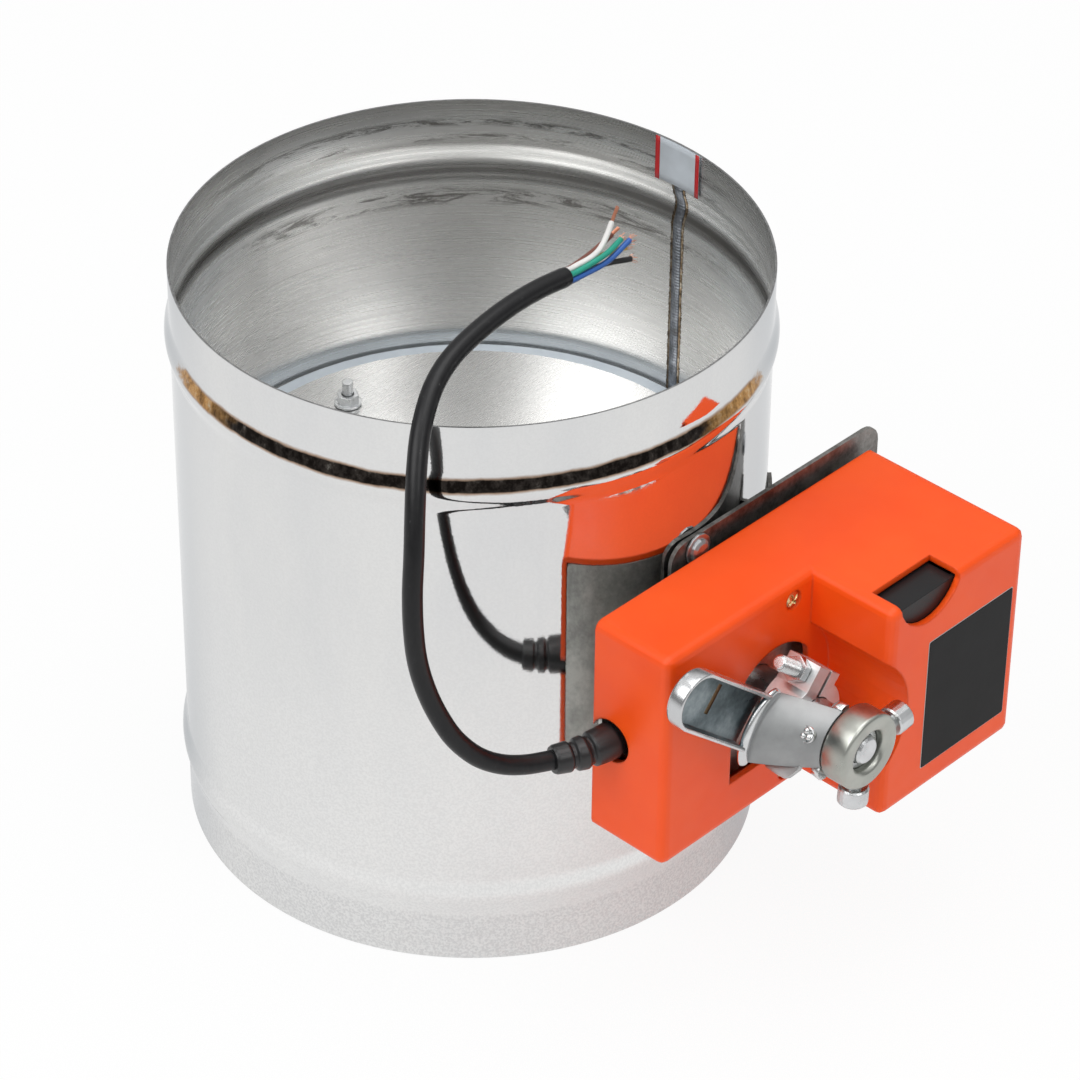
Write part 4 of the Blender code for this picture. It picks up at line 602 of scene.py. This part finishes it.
def make_lead():
    """The lead from its strain relief to its bare end: the jacket, the relief, the cores and their strands."""
    jacket_points = [at(*p) for p in catmull(CABLE_ROUTE, 2.0)]
    radii = [CABLE_R] * (len(jacket_points) - 1) + [CABLE_R - 0.15]
    jacket = tube("lead_jacket", jacket_points, radii, jacket_rubber(), "duct", ("power_cable",), 28)
    relief_points = [at(*p) for p in catmull(RELIEF_ROUTE, 0.3)]
    steps = np.linspace(0, 1, len(relief_points))
    radii = RELIEF_R * np.interp(steps, *zip(*RELIEF_PROFILE))
    tube("lead_relief", relief_points, [float(r) for r in radii], black("relief", 0.33, (0.018, 0.018, 0.019), 400),
         "duct", ("strain_relief",), 32)
    end = jacket_points[-1]
    along = (end - jacket_points[-2]).normalized()
    side = along.cross(Vector((0, 0, 1))).normalized()
    up = side.cross(along)
    copper = metal("copper", (0.62, 0.27, 0.17), 0.38)
    rng = np.random.default_rng(5)
    for name, degrees, tip, color in CORES:
        turn = radians(degrees)
        start = end - along * CORE_HIDDEN * MM + (side * cos(turn) + up * sin(turn)) * CORE_RING * MM
        fan = at(CORE_FAN[0] + CORE_FAN_R * cos(turn), CORE_FAN[1], CORE_FAN[2] + CORE_FAN_R * sin(turn))
        points = catmull([start, start + along * CORE_STRAIGHT * MM, fan, at(*tip)], 0.0008)
        cut = int(len(points) * BARE_FROM.get(name, 1.0))
        tube(name + "_skin", points[:cut], [CORE_R] * cut, plastic(name + "_skin", color, 0.33),
                         "duct", (name,), 14)
        make_strands(name, points[cut - 3:], cut == len(points), copper, rng)


# ---------------------------------------------------------------- duct
SEAM_END = 0.4
GROUND_Z = (99.0, 119.0)  # the weld is flush here, where the seal sweeps
STRIP_THICK = 0.1
STRIPE_OUT = 9.3


def wall_profile(radius, lip, bead_steps=14, rim=0.2):
    """(height, radius) points up one face of the sheet, over both beads, with its upper rim turned by lip."""
    points = [(0, radius), (rim, radius)]
    for middle in BEADS_Z:
        for n in range(bead_steps + 1):
            turn = -pi / 2 + pi * n / bead_steps
            points.append((middle + BEAD_HALF * 2 * turn / pi, radius + BEAD_RISE * (1 + cos(2 * turn)) / 2))
    return points + [(DUCT_H - rim, radius), (DUCT_H, radius + lip)]


def make_duct():
    """The rolled tube with its two beads, its inside and its cut rims."""
    outer, inner = wall_profile(DUCT_R, -0.05), wall_profile(INNER_R, 0.05)
    slots = [0] * (len(outer) - 1) + [2] + [1] * (len(inner) - 1) + [2]
    bm = lathe(outer + inner[::-1], 240, "Z", at(0, 0, 0), slots)
    finish_mesh("duct_tube", bm, [duct_outside(), duct_inside(), cut_edge()], "duct", ("duct_casing",),
                50)


def wall_radius(z):
    """The inside wall's radius at a height, out over the beads."""
    for middle in BEADS_Z:
        if abs(z - middle) < BEAD_HALF:
            return INNER_R + BEAD_RISE * (1 + cos(pi * (z - middle) / BEAD_HALF)) / 2
    return INNER_R


def strip_on_wall(name, middle, width, z0, z1, thickness, mat, rows, columns=6, bulge=0.0, ragged=0.0):
    """A thin strip on the duct's inside wall, centred on middle (radians from +X), with ragged long edges."""
    bm = bmesh.new()
    grid = []
    rng = np.random.default_rng(len(name))
    for r in range(rows + 1):
        z = z0 + (z1 - z0) * r / rows
        line = []
        edges = 1 + ragged * rng.uniform(-1, 1, 2)
        for c in range(columns + 1):
            s = 2 * c / columns - 1
            angle = middle + s * float(edges[0 if s < 0 else 1]) * width / 2 / INNER_R
            depth = wall_radius(z) - thickness - bulge * (1 - s * s)
            line.append(bm.verts.new(at(depth * cos(angle), depth * sin(angle), z)))
        grid.append(line)
    for r in range(rows):
        for c in range(columns):
            bm.faces.new((grid[r][c], grid[r][c + 1], grid[r + 1][c + 1], grid[r + 1][c]))
    obj = finish_mesh(name, bm, [mat], "duct", (), 60)
    thick = obj.modifiers.new("thickness", "SOLIDIFY")
    thick.thickness = STRIP_THICK * MM
    thick.offset = 0


def make_wall_marks():
    """The weld down the inside wall with its tint, and the tape over its upper end."""
    seam = radians(SEAM_DEGREES)
    low, high = SEAM_END, DUCT_H - SEAM_END
    strip_on_wall("seam_tint", seam, 6.0, low, high, 0.1, heat_tint(), 440, ragged=0.07)
    weld = weld_seam()
    for part, z0, z1, bulge in (("upper", GROUND_Z[1], high, 0.4), ("ground", *GROUND_Z, 0.0),
                                ("lower", low, GROUND_Z[0], 0.4)):
        strip_on_wall("seam_" + part, seam, 3.9, z0, z1, 0.2, weld, 150, 8, bulge, 0.03)
    tape = plastic("tape_white", (0.62, 0.67, 0.72), 0.42, 200)
    red = plastic("tape_red", (0.62, 0.015, 0.02), 0.45, 200)
    strip_on_wall("tape", seam, 20.4, 201.6, 218.3, 0.75, tape, 6, 10, ragged=0.01)
    for end, side in (("near", -1), ("far", 1)):
        strip_on_wall("tape_stripe_" + end, seam + side * STRIPE_OUT / INNER_R, 1.9, 201.4, 218.35, 0.87, red,
                      6, 2)


# ---------------------------------------------------------------- actuator details
# The lever's direction round the shaft, its back face, its middle line's offset, where it starts and where its
# round end is centred, and its half width. The slot: from, to, and its margins to the upper and lower edge.
LEVER_TURN = radians(139.3)
LEVER_X0 = 145.0
LEVER_OFFSET = -8.0
LEVER_ROOT = 24.0
LEVER_END = 61.0
LEVER_HALF = 10.2
LEVER_SLOT = (47.8, 50.0, 0.3, 4.3)
# The saddle: where its lip and its end at the collar lie along the shaft, its sheet's thickness, its inner radius at
# both, and how far its middle lies out along the lever at the lip.
SADDLE_LIP_X, SADDLE_END_X, SADDLE_THICK = 146.8, 168.3, 1.6
SADDLE_LIP_R, SADDLE_END_R, SADDLE_SHIFT = 18, 11.6, 2.5


def clamp(x, u, w):
    """A point of the clamp: u runs out along the lever, w up across it."""
    c, s = cos(LEVER_TURN), sin(LEVER_TURN)
    return at(x, u * c + w * s, SHAFT_Z + u * s - w * c)


def make_label():
    """The bare black plate stuck on the thick half's front, on a pale backing that shows as a hairline."""
    y0, y1, z0, z1, r = 36.5, 79.5, 77.0, 129.5, 0.8
    edge = plastic("label_edge", (0.5, 0.5, 0.5), 0.4)
    plate = black("label_black", 0.5, (0.01, 0.01, 0.0105), 300, 0.16)
    for name, grow, x0, x1, mat in (("label_backing", 0.0, 170.9, 171.1, edge),
                                    ("label_plate", -0.25, 171.0, 171.22, plate)):
        bm = bmesh.new()
        loops = []
        for x, inset in ((x0, 0.0), (x1 - 0.06, 0.0), (x1, 0.08)):
            loop = []
            for n, (cy, cz) in enumerate(((y1, z1), (y0, z1), (y0, z0), (y1, z0))):
                sy, sz = (1 if cy == y1 else -1), (1 if cz == z1 else -1)
                for k in range(5):
                    turn = n * pi / 2 + k * pi / 8
                    loop.append(bm.verts.new(at(x, cy - sy * (r - grow) + (r - inset) * cos(turn),
                                                cz - sz * (r - grow) + (r - inset) * sin(turn))))
            loops.append(loop)
        skin(bm, loops)
        finish_mesh(name, bm, [mat], "duct", (), 30)


def saddle_point(t, degrees, out):
    """Where the saddle's sheet lies across the shaft: t runs from its lip to the collar, degrees round it."""
    radius = SADDLE_LIP_R + (SADDLE_END_R - SADDLE_LIP_R) * t + out
    turn = radians(degrees)
    return SADDLE_SHIFT * (1 - t) + radius * cos(turn), LEVER_OFFSET * (1 - t) + radius * sin(turn)


def saddle_ends(t):
    """The degrees at the saddle's two long edges."""
    return -45 - 17 * t, 36 + 2 * t


def loft(name, rings, mat, replaces=()):
    """Closed rings of points joined into a capped zinc piece on the rotor."""
    bm = bmesh.new()
    skin(bm, [[bm.verts.new(point) for point in ring] for ring in rings])
    finish_mesh(name, bm, [mat], "rotor", replaces, 40)


def make_saddle():
    """The pressed trough from the lever's lip to the collar, and its flared lip, in a paler zinc than the sheet as a
    painted highlight.
    """
    rows, columns = 26, 48
    section = [(r / rows, 0.0) for r in range(rows, -1, -1)] + [(r / rows, SADDLE_THICK) for r in range(rows + 1)]
    rings = []
    for c in range(columns + 1):
        ring = []
        for t, out in section:
            first, last = saddle_ends(t)
            ring.append(clamp(SADDLE_LIP_X + (SADDLE_END_X - SADDLE_LIP_X) * t,
                              *saddle_point(t, first + (last - first) * c / columns, out)))
        rings.append(ring)
    loft("saddle_sheet", rings, zinc("saddle_zinc", (0.42, 0.428, 0.43), 0.5, 0.0003), ("clamp_saddle",))
    middle, reach = -3.5, 40.5
    half_x, half_out, round_steps = 1.5, 2.6, 14
    rings = []
    for c in range(41):
        share = c / 20 - 1
        grow = 0.55 + 0.45 * (1 - share ** 4) ** 0.5
        ring = []
        for k in range(round_steps):
            turn = 2 * pi * k / round_steps
            x = SADDLE_LIP_X + 1.9 + half_x * grow * cos(turn)
            out = 0.4 + half_out * grow * (1 + sin(turn))
            ring.append(clamp(x, *saddle_point(0.0, middle + reach * share, out)))
        rings.append(ring)
    # The lip's paler zinc is a painted highlight.
    loft("saddle_lip", rings, zinc("lip_highlight_zinc", (0.8, 0.81, 0.82), 0.16, 0.0002))


def make_saddle_skirt():
    """The clamp's lower ear, which shows below the saddle's edge."""
    rings = []
    for x, low, high in ((150.6, -19.0, -12.0), (151.8, -20.0, -12.0), (156.0, -20.3, -12.0), (159.6, -20.2, -11.0),
                         (161.2, -19.2, -10.0), (163.0, -16.0, -9.0)):
        middle = (low + high) / 2
        rings.append([clamp(x, u, w) for u, w in ((8.0, high), (9.0, middle), (9.3, low + 0.5), (8.9, low),
                                                  (7.9, low), (7.4, low + 0.5), (7.0, middle), (6.6, high))])
    loft("saddle_skirt", rings, zinc("skirt_zinc", (0.55, 0.56, 0.56), 0.4, 0.0003))


def on_saddle(x, degrees, radius):
    """A point round the shaft, in degrees from the lever's direction."""
    return clamp(x, radius * cos(radians(degrees)), radius * sin(radians(degrees)))


def make_saddle_details():
    """The two small lugs that stop the collar, and the staked pin beside it."""
    bright = zinc("pin_zinc", (0.8, 0.81, 0.81), 0.18, 0.0002)
    for name, middle, wide, high in (("upper", 44, 9, 1.0), ("lower", -78, 15, 2.6)):
        rings = []
        for x, grow in ((164.0, 0.1), (164.7, 0.6), (165.4, 0.9), (167.6, 1.0), (168.1, 0.8)):
            ring = []
            for k in range(9):
                share = k / 4 - 1
                ring.append(on_saddle(x, middle + share * wide, 13.2 + high * grow * (1 - share ** 4)))
            ring += [on_saddle(x, middle + (1 - k / 4) * wide, 11.8) for k in range(9)]
            rings.append(ring)
        loft("saddle_lug_" + name, rings, bright)
    pin_x, pin_degrees = 163.2, -14
    middle = on_saddle(pin_x, pin_degrees, 15.5)
    out = (on_saddle(pin_x, pin_degrees, 21.0) - middle).normalized()
    along = Vector((1, 0, 0))
    across = out.cross(along)

    def knob(name, centre, profile, steps):
        loft(name, [[centre + (along * cos(2 * pi * n / steps) + across * sin(2 * pi * n / steps)) * r * MM
                     + out * h * MM for n in range(steps)] for r, h in profile], bright)
    knob("saddle_pin", middle, ((3.0, -1.6), (2.95, 0.1), (2.7, 0.4), (2.3, 0.1), (1.2, -0.1), (0.3, -0.2)), 28)
    for n in range(3):
        turn = radians(100 + 120 * n)
        spot = middle + (along * cos(turn) + across * sin(turn)) * 1.25 * MM
        knob("saddle_pin_stake_%d" % n, spot,
             ((1.15, -0.2), (1.1, 0.5), (0.9, 0.95), (0.55, 1.25), (0.15, 1.35)), 16)


def make_collar():
    """The end collar, turned with a soft outer edge and a chamfered bore."""
    x0, x1, r, bore = 168.6, 178.6, 13.6, 7.3
    profile = [(x0, bore + 0.3), (x0, r - 1.2), (x0 + 0.35, r - 0.4), (x0 + 1.2, r)]
    edge = 1.5
    profile += [(x1 - edge + edge * sin(pi / 12 * k), r - edge + edge * cos(pi / 12 * k)) for k in range(7)]
    profile += [(x1, bore + 1.6), (x1 - 0.25, bore + 1.0), (x1 - 1.1, bore + 0.25), (x1 - 1.6, bore), (x0 + 0.3, bore)]
    bm = lathe(profile, 96, "X", at(0, 0, SHAFT_Z))
    finish_mesh("collar_ring", bm, [zinc("collar_zinc", (0.5, 0.512, 0.47), 0.26, 0.0003)], "rotor", ("end_collar",),
                40)


def make_bolt_thread():
    """The thread on the clamp bolt's free end."""
    bm = bmesh.new()
    steps, pitch = 28, 0.8
    u0, u1, w0, x_mid = 12.0, 24.4, 12.6, 147.5
    total = int((u1 - u0) / pitch * steps)
    rows = []
    for n in range(total + 1):
        turn = 2 * pi * n / steps
        u = u0 + pitch * n / steps
        row = []
        for du, r in ((-0.38, 2.52), (-0.08, 2.78), (0.08, 2.78), (0.38, 2.52)):
            row.append(bm.verts.new(clamp(x_mid + r * sin(turn), u + du, w0 + r * cos(turn))))
        rows.append(row)
    skin(bm, rows)
    finish_mesh("clamp_bolt_thread", bm, [zinc("thread_zinc", (0.75, 0.76, 0.76), 0.22, 0.0001)], "rotor", (),
                40)


def make_lever():
    """The pressed tray with a round end, rounded over its rim, and a slot through its floor.

    The section is drawn at stations along the edge, down one side, round the end and back up the other, and rows
    across the floor join each station to the one opposite."""
    x0, straight, round_end = LEVER_X0, 12, 28
    before_round = 57.0
    rim_points = 10
    slot_u0, slot_u1, slot_upper, slot_lower = LEVER_SLOT
    us = [LEVER_ROOT + (slot_u0 - LEVER_ROOT) * k / straight for k in range(straight + 1)] + [slot_u1, before_round]
    path = [(u, 0.0, 1.0) for u in us]
    for k in range(round_end + 1):
        turn = pi * k / round_end
        path.append((LEVER_END, sin(turn), cos(turn)))
    path += [(u, 0.0, -1.0) for u in reversed(us)]
    profile = [(-2.6, x0), (-0.9, x0), (-0.35, x0 + 0.12), (-0.08, x0 + 0.4), (0.0, x0 + 0.9), (0.0, x0 + 5.3),
               (-0.1, x0 + 5.65), (-0.35, x0 + 5.9), (-0.75, x0 + 6.0), (-1.15, x0 + 5.9), (-1.4, x0 + 5.65),
               (-1.5, x0 + 5.3), (-1.5, x0 + 2.5), (-1.62, x0 + 1.95), (-1.95, x0 + 1.6), (-2.6, x0 + 1.5)]
    bm = bmesh.new()
    stations = []
    for u, nu, nw in path:
        line = []
        for n, x in profile:
            reach = LEVER_HALF + n
            line.append(bm.verts.new(clamp(x, u + nu * reach, LEVER_OFFSET + nw * reach)))
        stations.append(line)
    for low, high in zip(stations, stations[1:]):
        for k in range(1, len(profile)):
            face = bm.faces.new((low[k - 1], low[k], high[k], high[k - 1]))
            face.material_index = 1 if k > rim_points else 0
    total = len(stations)
    floors = []
    for which in (0, -1):
        rows = []
        for n in range(total // 2):
            left, right = stations[n][which], stations[total - 1 - n][which]
            width = right.co - left.co
            rows.append([left, bm.verts.new(left.co + width.normalized() * slot_upper * MM),
                         bm.verts.new(right.co - width.normalized() * slot_lower * MM), right])
        for n in range(total // 2 - 1):
            for c in range(3):
                if c == 1 and n == straight:
                    continue
                face = bm.faces.new((rows[n][c], rows[n][c + 1], rows[n + 1][c + 1], rows[n + 1][c]))
                face.material_index = 1 if which else 0
        face = bm.faces.new(rows[-1] + [stations[total // 2][which]])
        face.material_index = 1 if which else 0
        floors.append(rows)
    bottom, top = floors
    hole = [(straight, 1), (straight, 2), (straight + 1, 2), (straight + 1, 1)]
    for (n, c), (n2, c2) in zip(hole, hole[1:] + hole[:1]):
        face = bm.faces.new((bottom[n][c], bottom[n2][c2], top[n2][c2], top[n][c]))
        face.material_index = 2
    bm.faces.new(stations[0] + top[0][1:3] + stations[-1][::-1] + bottom[0][2:0:-1])
    brassy = metal("slot_edge", (0.17, 0.135, 0.08), 0.5)
    # Slot 1, the tray's inner wall and inner floor, is painted shade.
    finish_mesh("lever_tray", bm, [zinc("lever_zinc", (0.74, 0.75, 0.76), 0.2, 0.0003), tray_inside_shade(), brassy], "rotor",
                ("clamp_lever",), 35)


def tray_inside_shade():
    """The tray's inside: a darker, blue-grey, cloudy copy of the zinc, painted shade for the hollow."""
    m = Mat("tray_inside_shade")
    cloud = m.noise(55, 5.0, 0.65)
    color = m.ramp(cloud, [(0.32, (0.042, 0.056, 0.063)), (0.5, (0.14, 0.175, 0.19)), (0.68, (0.33, 0.38, 0.4))])
    m.set(Base_Color=color, Metallic=0.9, Roughness=m.span(cloud, 0.3, 0.7, 0.26, 0.42, False),
          Normal=m.bump(m.noise(600, 4.0, 0.6), 0.08, 0.0002))
    return m.mat


def make_spring():
    """The release button's spring as a fixed coil in the box of the solid it replaces."""
    low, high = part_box("release_spring")
    wire = 0.4
    middle, radius = (low + high) / 2, (high.y - low.y) / 2 - wire * MM
    turns, steps = 5, 16
    x0, x1 = low.x + wire * MM, high.x - wire * MM
    points = []
    for n in range(turns * steps + 1):
        turn = 2 * pi * n / steps
        points.append(Vector((x0 + (x1 - x0) * n / (turns * steps), middle.y + radius * cos(turn),
                              middle.z + radius * sin(turn))))
    coil = tube("release_coil", points, [wire] * len(points), zinc("spring_zinc"), None, ("release_spring",),
                8)
    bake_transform(coil)


def make_cover_screws():
    """Pan heads with a cross recess, down in the cover's counterbores."""
    gold = metal("brass_head", (0.85, 0.62, 0.32), 0.26)
    seat, screw_y, screw_out = 135.95, 8, 35.0
    head_r, dome_r, head_h, head_turn = 3.3, 3.4, 1.1, 0.5
    arm_half, arm_reach, arm_slope = 0.55, 2.3, 0.5
    steps, rings = 48, 12
    for name, z in (("upper", SHAFT_Z + screw_out), ("lower", SHAFT_Z - screw_out)):
        bm = bmesh.new()

        def head_point(height, r, turn):
            return bm.verts.new(at(seat + height, screw_y + r * cos(turn + head_turn), z + r * sin(turn + head_turn)))

        def recess(r, turn):
            """How deep the cross is here, 0 to 1."""
            a, b = sorted((abs(r * cos(turn)), abs(r * sin(turn))))
            depth = max(0.0, 1 - a / arm_half) * max(0.0, min(1.0, (arm_reach - b) / arm_slope))
            return min(1.0, 2.2 * depth)
        turns = [2 * pi * n / steps for n in range(steps)]
        grid = [[head_point(head_h * (1 - recess(0.0, 0.0)), 0.0, 0.0)] * steps]
        for k in range(1, rings + 1):
            r = head_r * k / rings
            dome = head_h * sqrt(max(0.0, 1 - (r / dome_r) ** 2))
            grid.append([head_point(dome - head_h * recess(r, turn), r, turn) for turn in turns])
        back = [head_point(-0.3, head_r, turn) for turn in turns]
        for low, high in zip(grid, grid[1:] + [back]):
            bridge(bm, low, high)
        bm.faces.new(back)
        finish_mesh("cover_screw_head_" + name, bm, [gold], "duct", ("cover_screw_" + name,), 40)


# ---------------------------------------------------------------- materials on the CAD nodes
def dress():
    """Each solid's material, which is dull zinc where none is named."""
    zinc_bright = zinc("zinc_bright")
    zinc_dull = zinc("zinc_dull", (0.55, 0.56, 0.57), 0.3)
    groups = {
        galvanized("plate_steel", (0.1, 0.095, 0.088), (0.3, 0.29, 0.275)): ("mount_plate", "plate_bracket"),
        galvanized("base_steel", (0.4, 0.4, 0.38), (0.74, 0.74, 0.7)): ("actuator_base", "gear_frame"),
        orange(): ("actuator_housing",),
        black("button_black", 0.36, (0.011, 0.011, 0.012), 700, 0.3): (
            "release_button", "limit_switch_upper", "limit_switch_lower"),
        gasket(): ("blade_gasket",),
        zinc("jaw_zinc", (0.84, 0.85, 0.85), 0.36, 0.0003): ("clamp_jaw",),
        blade_face(): ("blade_upper", "blade_lower"),
        metal("brass_pinion", (0.72, 0.48, 0.2), 0.3): ("motor_pinion",),
        plastic("nylon", (0.8, 0.78, 0.72), 0.45): ("front_bush", "rear_bush", "output_gear", "second_gear",
                                                    "first_gear", "switch_cam", "terminal_block"),
        plastic("board", (0.02, 0.16, 0.07), 0.4): ("circuit_board",),
        plastic("capacitor", (0.75, 0.5, 0.05), 0.35): ("run_capacitor",),
        zinc_bright: ("clamp_lever", "clamp_saddle", "end_collar", "collar_screw_side", "collar_screw_lower",
                      "clamp_bolt", "clamp_nut", "output_sleeve", "drive_shaft", "front_strap", "rear_strap",
                      "blade_nut_1", "blade_nut_2", "blade_nut_3", "blade_nut_4"),
    }
    chosen = {node: mat for mat, nodes in groups.items() for node in nodes}
    for name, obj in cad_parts.items():
        mat = chosen.get(name, zinc_dull)
        for slot in obj.material_slots:
            slot.material = mat
        obj.data.shade_smooth()
        obj.data.set_sharp_from_angle(angle=radians(30))


# ---------------------------------------------------------------- stage and light
# What metal sees round it: (the direction's height, level), from level and below at 0 to straight up at 1.
ROOM = ((0.0, 0.82), (0.05, 0.82), (0.15, 0.2), (0.42, 0.28), (0.62, 0.85), (1.0, 0.85))
ROOM_LIGHT = 0.5
FLOOR_HALF, FLOOR_BELOW = 3.0, 0.0002
FLOOR_WHITE_SEEN, FLOOR_WHITE_MIRRORED, FLOOR_MIRROR_DIM = 0.92, 0.5, 0.1


def make_floor():
    """White to the camera and to metal, and still holding the object's shadow."""
    bm = bmesh.new()
    bmesh.ops.create_grid(bm, x_segments=1, y_segments=1, size=FLOOR_HALF)
    mesh = bpy.data.meshes.new("floor")
    bm.to_mesh(mesh)
    bm.free()
    floor = bpy.data.objects.new("floor", mesh)
    bpy.context.collection.objects.link(floor)
    floor.location.z = cad_low.z - FLOOR_BELOW
    m = Mat("floor")
    weave = m.noise(700, 3.0, 0.6)
    m.set(Base_Color=(0.9, 0.9, 0.9), Roughness=0.8, Normal=m.bump(weave, 0.25, 0.0006))
    glow = m.node("ShaderNodeEmission")
    path = m.node("ShaderNodeLightPath")
    mirrored = m.math("MAXIMUM", path.outputs["Is Glossy Ray"], path.outputs["Is Transmission Ray"])
    m.put(glow.inputs["Strength"], m.math("SUBTRACT", 1.0, m.times(mirrored, FLOOR_MIRROR_DIM)))
    share = m.math("MAXIMUM", m.times(path.outputs["Is Camera Ray"], FLOOR_WHITE_SEEN),
                   m.times(mirrored, FLOOR_WHITE_MIRRORED))
    blend = m.node("ShaderNodeMixShader")
    for socket, value in zip(blend.inputs, (share, m.shader.outputs[0], glow.outputs[0])):
        m.put(socket, value)
    m.put(m.t.nodes["Material Output"].inputs["Surface"], blend.outputs[0])
    mesh.materials.append(m.mat)


def make_room():
    """A white background, the room that metal mirrors, and plain light on the object."""
    world = bpy.data.worlds.new("world")
    bpy.context.scene.world = world
    world.use_nodes = True
    w = Tree(world.node_tree)
    back = w.t.nodes["Background"]
    back.inputs["Color"].default_value = (1, 1, 1, 1)
    path = w.node("ShaderNodeLightPath")
    seen = w.math("MAXIMUM", path.outputs["Is Camera Ray"], path.outputs["Is Transmission Ray"])
    height = w.xyz(w.node("ShaderNodeTexCoord").outputs["Generated"])[2]
    light = w.node("ShaderNodeMix", data_type="FLOAT")
    for n, value in ((0, path.outputs["Is Glossy Ray"]), (2, ROOM_LIGHT), (3, w.ramp(height, ROOM))):
        w.put(light.inputs[n], value)
    w.put(back.inputs["Strength"], w.math("MAXIMUM", seen, light.outputs[0]))


def area(name, place, target, size, power, size_y):
    """A rectangular lamp, in metres and watts, turned to its target."""
    data = bpy.data.lights.new(name, "AREA")
    data.shape = "RECTANGLE"
    data.size = size
    data.size_y = size_y
    data.energy = power
    lamp = bpy.data.objects.new(name, data)
    bpy.context.collection.objects.link(lamp)
    lamp.location = place
    lamp.rotation_euler = (Vector(target) - Vector(place)).to_track_quat("-Z", "Y").to_euler()


def make_lamps():
    middle = at(35, 0, 110)
    area("key", (-0.25, -1.5, 1.8), middle, 1.7, 19, 1.3)
    area("fill", (1.45, -0.12, 1.55), middle, 0.6, 4.2, 0.9)
    area("top", (0.1, 0.2, 1.8), middle, 1.2, 10, 1.2)


make_camera()
make_lead()
make_duct()
make_wall_marks()
make_label()
make_saddle()
make_saddle_skirt()
make_lever()
make_saddle_details()
make_collar()
make_bolt_thread()
make_cover_screws()
make_spring()
dress()
make_floor()
make_room()
make_lamps()
bpy.context.scene.view_settings.view_transform = "Standard"
